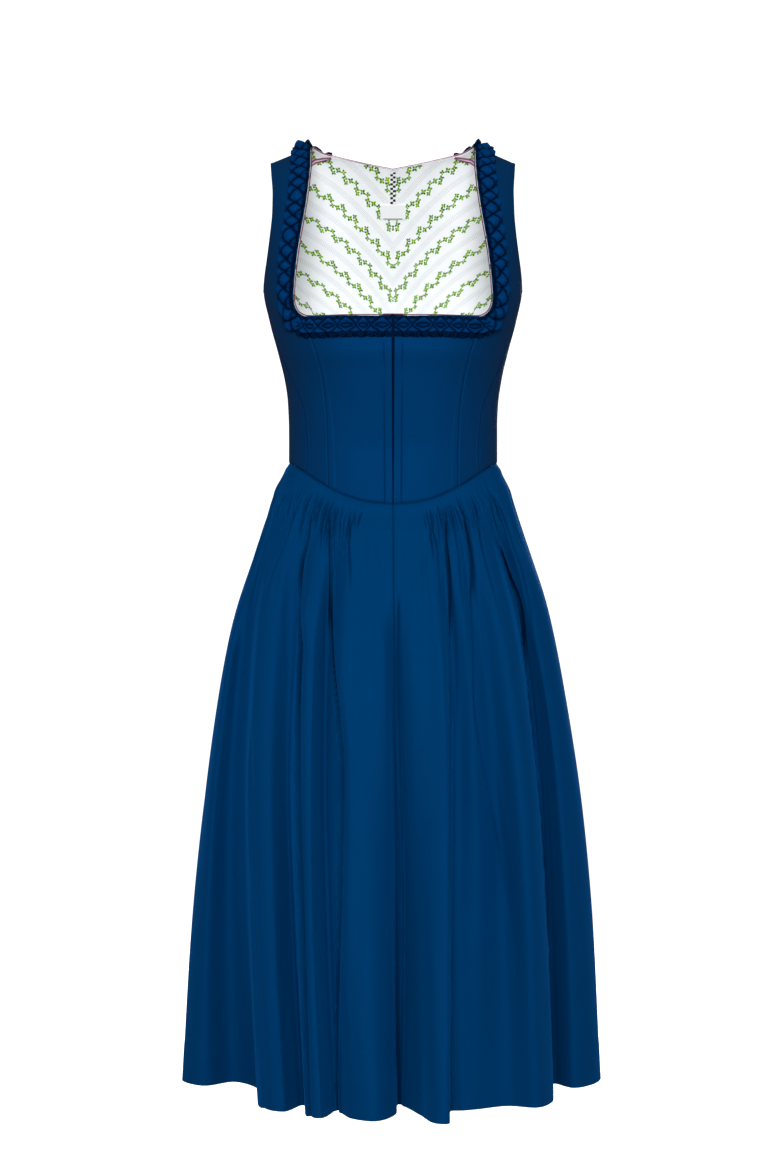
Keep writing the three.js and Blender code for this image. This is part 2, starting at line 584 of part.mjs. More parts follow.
// Pinched seams cross the band in an X at each whole pitch, and the cloth puffs up between them.
function rucheRow(i, mirror) {
  const before = pointAt(ruchePath[Math.max(i - 1, 0)], 0);
  const after = pointAt(ruchePath[Math.min(i + 1, ruchePath.length - 1)], 0);
  const normal = formNormal(ruchePath[i].psi, ruchePath[i].rise);
  const outwards = after.sub(before).cross(normal).normalize();
  const turn = i / QUARTERS;
  const scallop = (RUCHE.scallop * Math.cos(2 * Math.PI * turn)) / 2;
  const base = [];
  const top = [];
  for (let k = 0; k <= QUARTERS; k++) {
    const w = k / QUARTERS;
    const distance = lerp(0.4 - scallop / 2, RUCHE.width + scallop, w);
    const p = walk(ruchePath[i], outwards, distance);
    const lattice = Math.abs(Math.sin(Math.PI * (turn + w - 0.5)) * Math.sin(Math.PI * (turn - w + 0.5)));
    const edge = k === 0 || k === QUARTERS ? 0.55 : 1;
    const height = SEAM_GAP + RUCHE.floor + RUCHE.puff * edge * Math.sqrt(lattice);
    for (const [list, d] of [[base, -SEAM_GAP], [top, -height]]) {
      const q = pointAt(p, d);
      q.x *= mirror;
      list.push(q);
    }
  }
  return { base, top };
}
for (const [hand, mirror] of [["left", -1], ["right", 1]]) {
  const rows = ruchePath.map((_, i) => rucheRow(i, mirror));
  const alongPinch = (i, k) => (i + k) % QUARTERS === 1;
  const wall = wallGeometry(rows.map((r) => r.top), rows.map((r) => r.base), alongPinch);
  piece(`ruche_${hand}`, wall, BLUE_RUCHE);
}

// ---------- piping on the whole neck edge ----------
const PIPING_SIDES = 6;
const neckEdge = joined(
  frontCentreGrid.at(-1).slice(0, -1),
  strapInner.slice(ROWS.neckCorner - 1),
  [...neckBack].reverse(),
);
const pipingHalf = neckEdge.map((p, i, path) => {
  const depth = (LINING_DEPTH + LINING_WALL) / 2;
  const ahead = pointAt(path[Math.min(i + 1, path.length - 1)], depth);
  const behind = pointAt(path[Math.max(i - 1, 0)], depth);
  const normal = formNormal(p.psi, p.rise);
  const away = normal.clone().cross(ahead.sub(behind)).normalize();
  const centre = pointAt(p, depth).addScaledVector(away, PIPING_RADIUS + SEAM_GAP);
  return { centre, normal, away };
});
pipingHalf[0].centre.x = SLIT_TOP;
pipingHalf.at(-1).centre.x = 0;
pipingHalf.at(-1).away.x = 0;
function pipingRing({ centre, normal, away }, mirror) {
  return spread(PIPING_SIDES, (t) => {
    const turn = 2 * Math.PI * t;
    const q = centre.clone();
    q.addScaledVector(normal, PIPING_RADIUS * Math.cos(turn));
    q.addScaledVector(away, PIPING_RADIUS * Math.sin(turn));
    q.x *= mirror;
    return q;
  }).slice(0, -1);
}
function tubeGeometry(rings) {
  const sides = rings[0].length;
  const positions = rings.flat().flatMap((p) => [p.x, p.y, p.z]);
  const triangles = [];
  for (let r = 1; r < rings.length; r++)
    for (let k = 0; k < sides; k++) {
      const [a, b] = [(r - 1) * sides + k, (r - 1) * sides + ((k + 1) % sides)];
      triangles.push(a, b, b + sides, a, b + sides, a + sides);
    }
  const last = (rings.length - 1) * sides;
  for (let k = 1; k < sides - 1; k++) triangles.push(0, k + 1, k, last, last + k, last + k + 1);
  const geometry = new THREE.BufferGeometry();
  geometry.setAttribute("position", new THREE.Float32BufferAttribute(positions, 3));
  geometry.setIndex(signedVolume(positions, triangles) < 0 ? triangles.reverse() : triangles);
  return geometry;
}
const pipingLeft = pipingHalf.map((ring) => pipingRing(ring, -1));
const pipingRight = pipingHalf.slice(0, -1).map((ring) => pipingRing(ring, 1)).reverse();
piece("neck_piping", tubeGeometry([...pipingLeft, ...pipingRight]), PINK_PIPING);

// ---------- hanger tape and label on the back lining ----------
function patch(name, halfWidth, topDrop, bottomDrop, rows, wall, material) {
  const grid = spread(rows, (t) => {
    const drop = lerp(bottomDrop, topDrop, t);
    return bothSides([place(0, drop, 1), place(halfWidth, drop, 1)]);
  });
  panel(name, grid, material, LINING_DEPTH + LINING_WALL + SEAM_GAP, wall, uncut);
}
const hangerBottom = LABEL.drop - SEAM_GAP;
patch("hanger_tape", HANGER.width / 2, HANGER.drop, hangerBottom, 3, HANGER.wall, CHECK_TAPE);
patch("label", LABEL.width / 2, LABEL.drop, LABEL.drop + LABEL.height, 2, LABEL.wall, WHITE_LABEL);

// ---------- skirt ----------
const skirtSide = column(SKIRT_OUTLINE, "down", "side");
const skirtFront = column(SKIRT_OUTLINE, "down", "front");
const skirtBack = column(SKIRT_OUTLINE, "down", "back");
const WAIST = FORM.at(-1);
const WAIST_EXPONENT = WAIST.square;

// Depth of the skirt's outline at a share of its half width.
function outlineDepth(share, side, down) {
  const square = lerp(WAIST_EXPONENT, SKIRT_SQUARE, down);
  const reach = side < 0 ? WAIST.front + skirtFront(down) : WAIST.back + skirtBack(down);
  return reach * (1 - Math.min(Math.abs(share), 1) ** square) ** (1 / square);
}

const DRIFT = 0.85; // how soon a fold's line moves from its place at the waist to its place at the hem
function foldPoint(fold, down) {
  const hemHalf = WAIST.halfWidth + skirtSide(1);
  const hemShare = clamp(fold.x / hemHalf, -1, 1);
  const share = lerp(fold.waist, hemShare, down ** DRIFT);
  const off = fold.side * fold.y - outlineDepth(hemShare, fold.side, 1);
  const grown = clamp((down - fold.from) / (1 - fold.from), 0, 1) ** 0.9;
  const mid = fold.mid * Math.sin(Math.PI * down);
  const depth = outlineDepth(share, fold.side, down) + off * grown - mid;
  return new THREE.Vector3((WAIST.halfWidth + skirtSide(down)) * share, fold.side * depth, 0);
}

const FOLD_CYCLE = FOLDS.length;
const wrap = (u) => (((u / FOLD_CYCLE) % 1) + 1) % 1;
const closedCurve = (points) => new THREE.CatmullRomCurve3(points, true, "centripetal");

// The waist seam's angle round the form, through the folds' places.
const waistTurn = closedCurve(FOLDS.map((fold) => {
  const psi = place(Math.abs(fold.waist) * WAIST.halfWidth, FORM_DROP, fold.side).psi;
  return new THREE.Vector3(Math.sign(fold.waist) * Math.cos(psi), fold.side * Math.sin(psi), 0);
}));
function waistSeamPoint(u) {
  const turn = waistTurn.getPoint(wrap(u)).normalize();
  const psi = Math.acos(Math.abs(turn.x));
  const side = turn.y < 0 ? -1 : 1;
  const drop = waistDrop(psi, side);
  const p = onForm(psi, side * riseOf(drop));
  return p.set(Math.sign(turn.x) * p.x, p.y, -drop - WAIST_GAP);
}

const rings = new Map();
function ringAt(down) {
  if (!rings.has(down)) rings.set(down, closedCurve(FOLDS.map((fold) => foldPoint(fold, down))));
  return rings.get(down);
}
const JOIN_END = 0.05; // share of the way down where the skirt has left the waist seam's own curve
function skirtPoint(u, down) {
  const top = waistSeamPoint(u);
  const p = ringAt(down).getPoint(wrap(u));
  p.z = top.z;
  p.lerp(top, 1 - smooth(down, 0, JOIN_END));
  p.z = lerp(top.z, -HEM_DROP, down);
  return p;
}
function skirtNormal(u, down) {
  const around = skirtPoint(u + 0.04, down).sub(skirtPoint(u - 0.04, down));
  const low = clamp(down, 0.004, 0.996);
  const along = skirtPoint(u, low + 0.004).sub(skirtPoint(u, low - 0.004));
  return along.cross(around).normalize();
}

// Fine gathers below the waist seam, uneven in height and spacing, and none at the centre front.
function gatherHeight(u, down) {
  const waistX = Math.abs(skirtPoint(u, 0).x);
  const onFront = skirtPoint(u, 0).y < 0;
  const room = onFront ? smooth(waistX, GATHERS.flatX, GATHERS.fullX) : 1;
  const rise = lerp(GATHERS.atSeam, GATHERS.height, smooth(down, 0, GATHER_RISE));
  const fade = 1 - smooth(down, GATHER_RISE, GATHER_END);
  const uneven = 0.7 + 0.3 * Math.sin(1.7 * u + 0.6);
  return room * rise * fade * uneven * Math.sin(2 * Math.PI * u);
}
function skirtRow(from, to, steps, down, depth) {
  return spread((to - from) * steps, (t) => {
    const u = lerp(from, to, t);
    const out = gatherHeight(u, down) - depth;
    return skirtPoint(u, down).addScaledVector(skirtNormal(u, down), out);
  });
}
function skirtPanel(name, from, to) {
  const layer = (depth) => {
    const fine = FINE_LEVELS.map((down) => skirtRow(from, to, FINE_STEPS, down, depth));
    const plain = PLAIN_LEVELS.map((down) => skirtRow(from, to, PLAIN_STEPS, down, depth));
    return drawIn([...fine, ...plain], { first: false, last: false });
  };
  piece(name, wallGeometry(layer(0), layer(SKIRT_WALL)), BLUE_SKIRT);
}
skirtPanel("skirt_front_left", SEAM_FOLDS.leftSide, SEAM_FOLDS.centreFront);
skirtPanel("skirt_front_right", SEAM_FOLDS.centreFront, SEAM_FOLDS.rightSide);
skirtPanel("skirt_back", SEAM_FOLDS.rightSide, FOLD_CYCLE);

export default dress;
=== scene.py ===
"""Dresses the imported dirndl: sewn bodice, printed lining, ruched neck trim, gathered skirt and the studio stage.

Lengths in the tables are millimetres in the dress's own frame (+Z up, the front towards -Y, the origin in the
middle of the shoulder line). They turn into metres where a mesh is made.
"""

import math

import bpy
import numpy as np
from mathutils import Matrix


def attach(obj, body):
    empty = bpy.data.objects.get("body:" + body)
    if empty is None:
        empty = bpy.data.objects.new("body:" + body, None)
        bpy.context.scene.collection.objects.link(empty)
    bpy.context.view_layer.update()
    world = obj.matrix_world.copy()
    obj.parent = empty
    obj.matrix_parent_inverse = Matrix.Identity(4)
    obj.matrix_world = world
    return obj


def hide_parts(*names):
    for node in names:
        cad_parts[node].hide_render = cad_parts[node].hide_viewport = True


bl_info = {
    "name": "Dirndl dress",
    "version": (1, 0, 0),
    "blender": (4, 5, 0),
    "location": "View3D > Sidebar > Dirndl",
    "description": "Makes a sleeveless midi dirndl round its packed CAD frame",
    "category": "Object",
}

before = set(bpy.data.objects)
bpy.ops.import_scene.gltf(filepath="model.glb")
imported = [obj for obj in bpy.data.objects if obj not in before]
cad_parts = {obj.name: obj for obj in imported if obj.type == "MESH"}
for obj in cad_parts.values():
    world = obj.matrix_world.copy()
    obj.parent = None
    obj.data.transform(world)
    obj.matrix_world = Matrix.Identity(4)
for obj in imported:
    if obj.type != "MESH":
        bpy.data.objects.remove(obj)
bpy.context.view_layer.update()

MM = 0.001
RIGHT_ANGLE = math.pi / 2

# ---------- the garment's own measures, as in the CAD source ----------
BODICE_WALL = 1.4
LINING_WALL = 1.0
SKIRT_WALL = 1.2
SEAM_GAP = 0.3
WAIST_GAP = 0.6
FORM_DROP = 430
SHOULDER_SLOPE = 0.42
SLOPE_FROM_X = 90
SLOPE_FADE = 150
BUST_X, BUST_DROP, BUST_OUT, BUST_WIDE, BUST_HIGH = 72, 222, 6, 42, 46
WAIST_SIDE_DROP = 359
WAIST_FRONT_DIP = 47.5
WAIST_BACK_DIP = 8
WAIST_DIP_POWER = 2.6
HEM_DROP = 1060.5
SLIT_TOP, SLIT_BOTTOM = 1.6, 0.4
TAPE_HALF, TAPE_WALL, TAPE_TOP = 11, 1.2, 200.5
HANGER_HALF, HANGER_TOP, HANGER_FOOT = 3, 23, 56.7
LABEL_HALF, LABEL_TOP, LABEL_FOOT = 14.5, 57, 74
PATCH_WALL = 1.0
PIPING_RADIUS = 1.1
UNDERARM_DROP = 163
LINING_DEPTH = BODICE_WALL + SEAM_GAP
# How far the bodice's and the skirt's shells reach into the gap at the waist seam.
BODICE_LAP, SKIRT_LAP = 0.4, 0.25

# Sections of the body form: drop below the shoulder line, half width, front and back depth, squareness.
FORM = np.array([
    (0, 141, 0, 0, 3.6), (5, 141, 17, 16, 3.6), (15, 142, 31, 29, 3.5), (30, 142.5, 45, 41, 3.4),
    (60, 143, 64, 58, 3.3), (100, 143.6, 83, 74, 3.0), (140, 145.6, 99, 84, 2.6), (163, 146, 106, 87, 2.4),
    (200, 139, 113, 86, 2.35), (237, 129, 113, 82, 2.3), (264, 122.6, 107, 78, 2.3), (292, 118.8, 101, 75, 2.3),
    (320, 117.6, 96, 74, 2.3), (350, 117.6, 92, 74, 2.3), (FORM_DROP, 117.6, 92, 74, 2.3),
], float)
WAIST_HALF, WAIST_FRONT, WAIST_BACK, WAIST_SQUARE = FORM[-1, 1:]

# Seams as (drop, distance from the middle), the armhole, and the neckline as (x, drop, front -1 or back +1).
PRINCESS_SEAM = [(326, 72.6), (283, 76), (246, 83.5), (229, 89), (201.6, 97.5)]
PRINCESS_WAIST_X = 71.5
SIDE_SEAM = [(347, 95.5), (302, 98.8), (275, 109), (257, 117), (240, 124.5), (200, 138.2), (163, 145.95)]
SIDE_WAIST_X = 96
BACK_SEAM = [(330, 40), (280, 50), (230, 66), (190, 84), (150, 106), (125, 122), (108, 138.4)]
BACK_WAIST_X = 38
ARMHOLE = [(0, 138.4), (15, 137), (45, 135), (70, 135.3), (100, 137.5), (130, 141), (150, 144.3), (163, 145.95)]
ARM_SEAM_DROP = 33
NECKLINE = [
    (0, 203, -1), (45, 203, -1), (86, 203, -1), (97.5, 201.6, -1), (105.5, 196, -1), (109.6, 187, -1),
    (110.3, 175, -1), (109.3, 158, -1), (105.9, 128, -1), (96.8, 69, -1), (93, 30, -1), (91.5, 0, 1),
    (82, 4.5, 1), (69, 8, 1), (35, 15, 1), (0, 21.5, 1),
]
NECK_CORNER, NECK_SIDE, NECK_RIDGE, NECK_SEAM = 3, 6, 11, 13

# Growth of the skirt's section below the waist: share of the way down, sideways, forwards, backwards.
SKIRT_OUTLINE = np.array([
    (0, 0, 0, 0), (0.02, 7, 6, 7), (0.06, 17, 15, 18), (0.14, 37, 34, 38), (0.24, 60, 54, 59),
    (0.38, 80.5, 75, 80), (0.53, 96.5, 91, 96), (0.67, 106.5, 103, 108), (0.82, 115, 113, 118),
    (1, 122.4, 123, 128),
], float)
SKIRT_SQUARE = 2.25
DRIFT = 0.85
JOIN_END = 0.05

# Folds, once round from the left side seam by the front: place on the waist, side, hem x and y, where the fold
# starts on the way down, and how much further in it stands half way.
FOLDS = np.array([
    (-1, -1, -239, 20, 0, 0), (-0.995, -1, -213, -8, 0.3, 0), (-0.985, -1, -181, 16, 0.2, 4),
    (-0.968, -1, -153, -22, 0.16, 0), (-0.91, -1, -141, -140, 0.2, 0), (-0.81, -1, -117, -162, 0.1, 0),
    (-0.7, -1, -98, -126, 0.05, 6), (-0.62, -1, -91, -190, 0.16, -3), (-0.54, -1, -77, -198, 0.06, -4),
    (-0.465, -1, -61, -156, 0.03, 14), (-0.36, -1, -43, -201, 0.05, -4), (-0.2, -1, -19, -215, 0.14, 0),
    (-0.08, -1, 2, -180, 0.24, 0), (0, -1, 6, -124, 0.16, 4), (0.1, -1, 28, -180, 0.22, 0),
    (0.22, -1, 44, -226, 0.3, 0), (0.32, -1, 56, -229, 0.16, -3), (0.41, -1, 60, -164, 0.08, 9),
    (0.48, -1, 88, -150, 0.1, -6), (0.55, -1, 124, -130, 0.06, 9), (0.66, -1, 155, -140, 0.12, -6),
    (0.74, -1, 174, -108, 0.04, -4), (0.81, -1, 181, 6, 0.03, 12), (0.88, -1, 203, -20, 0.14, 0),
    (0.96, -1, 224, -2, 0.2, 0), (1, 1, 238, 40, 0.1, 0), (0.97, 1, 231, 88, 0.2, 0),
    (0.91, 1, 211, 112, 0.2, 0), (0.85, 1, 184, 74, 0.1, 3), (0.79, 1, 178, 138, 0.2, 0),
    (0.7, 1, 153, 160, 0.16, 0), (0.61, 1, 135, 116, 0.08, 4), (0.54, 1, 128, 172, 0.16, 0),
    (0.44, 1, 88, 200, 0.24, -3), (0.35, 1, 69, 128, 0.05, 8), (0.28, 1, 60, 190, 0.18, 0),
    (0.17, 1, 38, 203, 0.14, 0), (0.08, 1, 24, 166, 0.12, 0), (0.01, 1, 2, 208, 0.22, 0),
    (-0.11, 1, -32, 213, 0.2, -3), (-0.2, 1, -50, 134, 0.04, 9), (-0.27, 1, -60, 192, 0.2, 0),
    (-0.38, 1, -81, 186, 0.14, 0), (-0.46, 1, -96, 138, 0.1, 3), (-0.53, 1, -110, 181, 0.2, 0),
    (-0.63, 1, -145, 164, 0.22, 0), (-0.71, 1, -157, 92, 0.06, 6), (-0.78, 1, -171, 138, 0.2, 0),
    (-0.86, 1, -197, 118, 0.2, 0), (-0.92, 1, -207, 64, 0.12, 0), (-0.97, 1, -228, 78, 0.2, 0),
], float)
LEFT_SEAM_FOLD, FRONT_SEAM_FOLD, RIGHT_SEAM_FOLD = 0, 13, 25


# ---------- colours and settings a user would change ----------
def linear(value):
    """An sRGB hex colour as linear RGBA."""
    parts = [((value >> shift) & 255) / 255 for shift in (16, 8, 0)]
    return tuple(c / 12.92 if c <= 0.04045 else ((c + 0.055) / 1.055) ** 2.4 for c in parts) + (1.0,)


def colour(name, text, value):
    """A colour property, given as an sRGB hex number."""
    return bpy.props.FloatVectorProperty(
        name=name, description=text, subtype="COLOR", size=4, min=0, max=1, default=linear(value)
    )


def length(name, text, value):
    """A length property, given in millimetres."""
    return bpy.props.FloatProperty(
        name=name, description=text, unit="LENGTH", subtype="DISTANCE", min=0, default=value * MM, precision=5
    )


def power(name, text, value):
    """A light's power, in watts."""
    return bpy.props.FloatProperty(name=name, description=text, unit="POWER", min=0, default=value)


class DirndlColours(bpy.types.PropertyGroup):
    bodice: colour("Bodice", "Dyed cotton of the bodice", 0x002749)
    skirt: colour("Skirt", "Dyed cotton of the skirt", 0x003461)
    trim: colour("Ruching", "Cotton of the ruched neck trim", 0x003367)
    lining: colour("Lining", "Ground of the printed lining", 0xF5F8FA)
    leaf_dark: colour("Dark leaf", "Darker green of the printed sprigs", 0x286400)
    leaf_light: colour("Light leaf", "Lighter green of the printed sprigs", 0x94C800)
    dots: colour("Dots", "Grey of the printed dotted lines", 0xC6CCCB)
    piping: colour("Piping", "Satin piping of the neck edge", 0x2C103A)
    hook_tape: colour("Hook tape", "Tape behind the front closure", 0x07142E)
    label: colour("Label", "Woven label without text", 0xF4F5F7)


class DirndlSizes(bpy.types.PropertyGroup):
    gather_depth: length("Gather depth", "Height that the gather tables are counted in", 1.0)
    puff_height: length("Puff height", "Height of the ruched puffs over their band", 5.6)
    puff_pitch: length("Puff pitch", "Distance between two pinched crossings of the ruching", 17)
    hem_depth: length("Hem depth", "Depth of the turned-up hem", 42)
    facing_width: length("Facing width", "Width of the stitched-down front facing", 8.4)


class DirndlStage(bpy.types.PropertyGroup):
    key_power: power("Key light", "Power of the large soft light", 130)
    top_power: power("Top light", "Power of the light from above the camera", 3)
    side_power: power("Side lights", "Power of each low strip light beside the skirt", 2.4)
    back_power: power("Back light", "Power of the light behind the dress", 70)
    ambient: bpy.props.FloatProperty(
        name="Ambient", description="Strength of the room's own light", min=0, default=0.13
    )


def settings(group):
    return getattr(bpy.context.scene, "dirndl_" + group)


# ---------- curves and tables ----------
def ease(value, low, high):
    """0 below low and 1 above high, with a smooth rise between."""
    t = np.clip((value - low) / (high - low), 0, 1)
    return t * t * (3 - 2 * t)


def bell(value, width=1.0):
    """1 at zero, falling off smoothly on both sides."""
    return np.exp(-((value / width) ** 2))


def column(places, values, scale=lambda v: v):
    """A smooth curve through a table's column, which never overshoots."""
    xs, ys = scale(np.asarray(places, float)), np.asarray(values, float)
    if xs[0] > xs[-1]:
        xs, ys = xs[::-1], ys[::-1]
    steps = np.diff(ys) / np.diff(xs)
    product, total = steps[:-1] * steps[1:], steps[:-1] + steps[1:]
    inner = np.where(product > 0, 2 * product / np.where(total == 0, 1, total), 0)
    slopes = np.concatenate((steps[:1], inner, steps[-1:]))

    def at(value):
        x = np.clip(scale(np.asarray(value, float)), xs[0], xs[-1])
        i = np.clip(np.searchsorted(xs, x) - 1, 0, len(xs) - 2)
        h = xs[i + 1] - xs[i]
        t = (x - xs[i]) / h
        start, end = 2 * t**3 - 3 * t**2 + 1, 3 * t**2 - 2 * t**3
        return ys[i] * start + ys[i + 1] * end + h * (
            slopes[i] * (t**3 - 2 * t**2 + t) + slopes[i + 1] * (t**3 - t**2)
        )

    return at


def spline(points, closed):
    """A centripetal Catmull-Rom curve through points, by place number."""
    points = np.asarray(points, float)
    count = len(points)
    if closed:
        padded = np.concatenate((points[-1:], points, points[:2]))
    else:
        padded = np.concatenate((2 * points[:1] - points[1:2], points, 2 * points[-1:] - points[-2:-1]))

    def at(place):
        place = np.asarray(place, float)
        i = np.floor(place).astype(int)
        if not closed:
            i = np.clip(i, 0, count - 2)
        t = (place - i)[..., None]
        i = i % count if closed else i
        p = [padded[i + k] for k in range(4)]
        gaps = [np.sqrt(np.linalg.norm(p[k + 1] - p[k], axis=-1, keepdims=True)) for k in range(3)]
        gaps[1] = np.where(gaps[1] < 1e-4, 1, gaps[1])
        gaps = [np.where(g < 1e-4, gaps[1], g) for g in gaps]
        a, b, c = gaps
        start = b * ((p[1] - p[0]) / a - (p[2] - p[0]) / (a + b) + (p[2] - p[1]) / b)
        end = b * ((p[2] - p[1]) / b - (p[3] - p[1]) / (b + c) + (p[3] - p[2]) / c)
        return (
            p[1] + start * t + (-3 * p[1] + 3 * p[2] - 2 * start - end) * t**2
            + (2 * p[1] - 2 * p[2] + start + end) * t**3
        )

    return at


def unit(vectors):
    return vectors / np.maximum(np.linalg.norm(vectors, axis=-1, keepdims=True), 1e-9)


# ---------- the body form ----------
def rise_of(drop):
    return np.sqrt(np.asarray(drop, float) / FORM_DROP)


form_half, form_front, form_back, form_square = (column(FORM[:, 0], FORM[:, k], rise_of) for k in (1, 2, 3, 4))
armhole_x = column(*zip(*ARMHOLE))


def on_form(psi, rise):
    """Points of the form. psi turns from the side (0) to the middle, rise runs from front to back over the
    shoulder."""
    drop = FORM_DROP * rise**2
    back = rise >= 0
    power = 2 / form_square(drop)
    psi = np.clip(psi, 0, RIGHT_ANGLE)
    x = form_half(drop) * np.maximum(np.cos(psi), 0) ** power
    depth = np.where(back, form_back(drop), -form_front(drop))
    bust = BUST_OUT * np.exp(-(((x - BUST_X) / BUST_WIDE) ** 2) - ((drop - BUST_DROP) / BUST_HIGH) ** 2)
    y = depth * np.sin(psi) ** power - np.where(back, 0, bust)
    slope = SHOULDER_SLOPE * np.maximum(0, x - SLOPE_FROM_X) * (1 - ease(drop, 0, SLOPE_FADE))
    return np.stack((x, y, -drop - slope), -1)


def form_normal(psi, rise):
    turn, step = 0.004, 0.002
    across = on_form(psi + turn, rise) - on_form(np.maximum(psi - turn, 0), rise)
    low_side = (psi < turn) & (np.abs(rise) > rise_of(UNDERARM_DROP) - 0.01)
    across = np.where(low_side[..., None], np.stack((0 * psi, np.sign(rise), 0 * psi), -1), across)
    across = np.where((psi > RIGHT_ANGLE - turn)[..., None], np.array((-1.0, 0, 0)), across)
    up = on_form(psi, rise + step) - on_form(psi, rise - step)
    return unit(np.cross(up, across))


def place(x, drop, side):
    """The chart place at distance x from the middle."""
    share = np.clip(x / form_half(drop), 0, 1)
    psi = np.arccos(share ** (form_square(drop) / 2))
    return np.stack(np.broadcast_arrays(psi, side * rise_of(drop)), -1)


def point_at(places, depth=0.0):
    psi, rise = places[..., 0], places[..., 1]
    return on_form(psi, rise) - form_normal(psi, rise) * depth


def laid(places):
    """Points of the form at chart places, and the way outwards there."""
    return point_at(places), form_normal(places[..., 0], places[..., 1])


def waist_drop(psi, side):
    dip = np.where(side < 0, WAIST_FRONT_DIP, WAIST_BACK_DIP)
    return WAIST_SIDE_DROP + dip * np.sin(psi) ** WAIST_DIP_POWER


def path_lengths(points):
    return np.concatenate(([0], np.cumsum(np.linalg.norm(np.diff(points, axis=0), axis=1))))


def even_places(path, count):
    """Places along a chart path, the same distance apart on the form."""
    along = path_lengths(point_at(path))
    want = np.linspace(0, along[-1], count + 1)
    return np.stack([np.interp(want, along, path[:, k]) for k in (0, 1)], -1)


DENSE = 240


def seam_places(table, waist_x, side, rows):
    psi = place(waist_x, FORM_DROP, side)[0]
    start_drop = float(waist_drop(psi, side))
    drops, xs = zip((start_drop, waist_x), *table)
    drop = np.linspace(start_drop, table[-1][0], DENSE + 1)
    path = place(column(drops, xs)(drop), drop, side)
    path[0] = psi, side * rise_of(start_drop)
    return even_places(path, rows)


NECK_CHART_SCALE = 400
neck_curve = spline([(x, side * rise_of(drop) * NECK_CHART_SCALE, 0) for x, drop, side in NECKLINE], False)


def neck_part(start, end, rows):
    p = neck_curve(np.linspace(start, end, DENSE + 1))
    rise = p[:, 1] / NECK_CHART_SCALE
    path = place(np.maximum(p[:, 0], 0), FORM_DROP * rise**2, np.where(rise < 0, -1, 1))
    return even_places(path, rows)


def armhole_part(start, end, side, rows):
    drop = np.linspace(math.sqrt(start), math.sqrt(end), DENSE + 1) ** 2
    return even_places(place(armhole_x(drop), drop, side), rows)


def joined(*parts):
    return np.concatenate([parts[0]] + [part[1:] for part in parts[1:]])


def mixed(start, end, shares):
    """Rows of places between two borders."""
    return start[:, None] + (end - start)[:, None] * np.asarray(shares)[None, :, None]


def edge_shares(count, bunching=0.75):
    """Shares of a panel's width, closer together at both borders, where seams and folds lie."""
    t = np.linspace(0, 1, count + 1)
    return (1 - bunching) * t + bunching * (1 - np.cos(np.pi * t)) / 2


# Rows of a panel's grid, from the waist seam up, for one unit of fineness.
ROW_PARTS = dict(corner=7, underarm=9, neck_side=10, ridge=18, seam=20, back_top=14)


def row_numbers(fine):
    return {key: round(value * fine) for key, value in ROW_PARTS.items()}


def strap_borders(fine):
    """The inner and outer border of the front side panel, from the waist over the shoulder to its seam."""
    rows = row_numbers(fine)
    inner = joined(
        seam_places(PRINCESS_SEAM, PRINCESS_WAIST_X, -1, rows["corner"]),
        neck_part(NECK_CORNER, NECK_SIDE, rows["neck_side"] - rows["corner"]),
        neck_part(NECK_SIDE, NECK_RIDGE, rows["ridge"] - rows["neck_side"]),
        neck_part(NECK_RIDGE, NECK_SEAM, rows["seam"] - rows["ridge"]),
    )
    outer = joined(
        seam_places(SIDE_SEAM, SIDE_WAIST_X, -1, rows["underarm"]),
        armhole_part(UNDERARM_DROP, 0, -1, rows["ridge"] - rows["underarm"]),
        armhole_part(0, ARM_SEAM_DROP, 1, rows["seam"] - rows["ridge"]),
    )
    return inner, outer, rows


def shoulder_seam(shares):
    """Places along the strap's seam behind the shoulder, from the neck outwards."""
    inner, outer, _ = strap_borders(1)
    return mixed(inner[-1:], outer[-1:], shares)[0]


def follow_waist(grid, corner_rows):
    """Lets the lowest row of a front panel follow the dip of the waist seam, and the rows above it ever less."""
    low = grid[0]
    sink = rise_of(waist_drop(low[:, 0], -1)) + low[:, 1]
    fade = 1 - ease(np.arange(len(grid)), 0, corner_rows)
    out = grid.copy()
    out[..., 1] -= sink[None] * fade[:, None]
    return out


def front_centre_grid(fine, columns):
    corner = round(ROW_PARTS["corner"] * fine)
    seam = seam_places(PRINCESS_SEAM, PRINCESS_WAIST_X, -1, corner)
    share = np.linspace(0, 1, corner + 1)
    drop = WAIST_SIDE_DROP + WAIST_FRONT_DIP + (NECKLINE[0][1] - WAIST_SIDE_DROP - WAIST_FRONT_DIP) * share
    edge = place(SLIT_BOTTOM + (SLIT_TOP - SLIT_BOTTOM) * share, drop, -1)
    return follow_waist(mixed(edge, seam, edge_shares(columns, 0.85)), corner)


def front_side_grid(fine, columns):
    inner, outer, rows = strap_borders(fine)
    return follow_waist(mixed(inner, outer, edge_shares(columns)), rows["corner"])


def side_grid(fine, columns):
    """The side panel crosses from front to back below the armhole, so its places turn through the side."""
    rows = round(ROW_PARTS["underarm"] * fine)
    front = seam_places(SIDE_SEAM, SIDE_WAIST_X, -1, rows)[:, None]
    back = seam_places(BACK_SEAM, BACK_WAIST_X, 1, rows)[:, None]
    t = edge_shares(columns, 0.5)[None]
    share = np.linspace(0, 1, rows + 1)[:, None]
    angle = -front[..., 0] + (back[..., 0] + front[..., 0]) * t
    side = np.where(angle < 0, -1, 1)
    low = waist_drop(np.abs(angle), side)
    high = UNDERARM_DROP + (BACK_SEAM[-1][0] - UNDERARM_DROP) * t**1.6 + np.sin(np.pi * t) * 9
    drop = low + (high - low) * share
    drop[:, :1] = FORM_DROP * front[..., 1] ** 2
    drop[:, -1:] = FORM_DROP * back[..., 1] ** 2
    return np.stack((np.abs(angle), side * rise_of(drop)), -1)


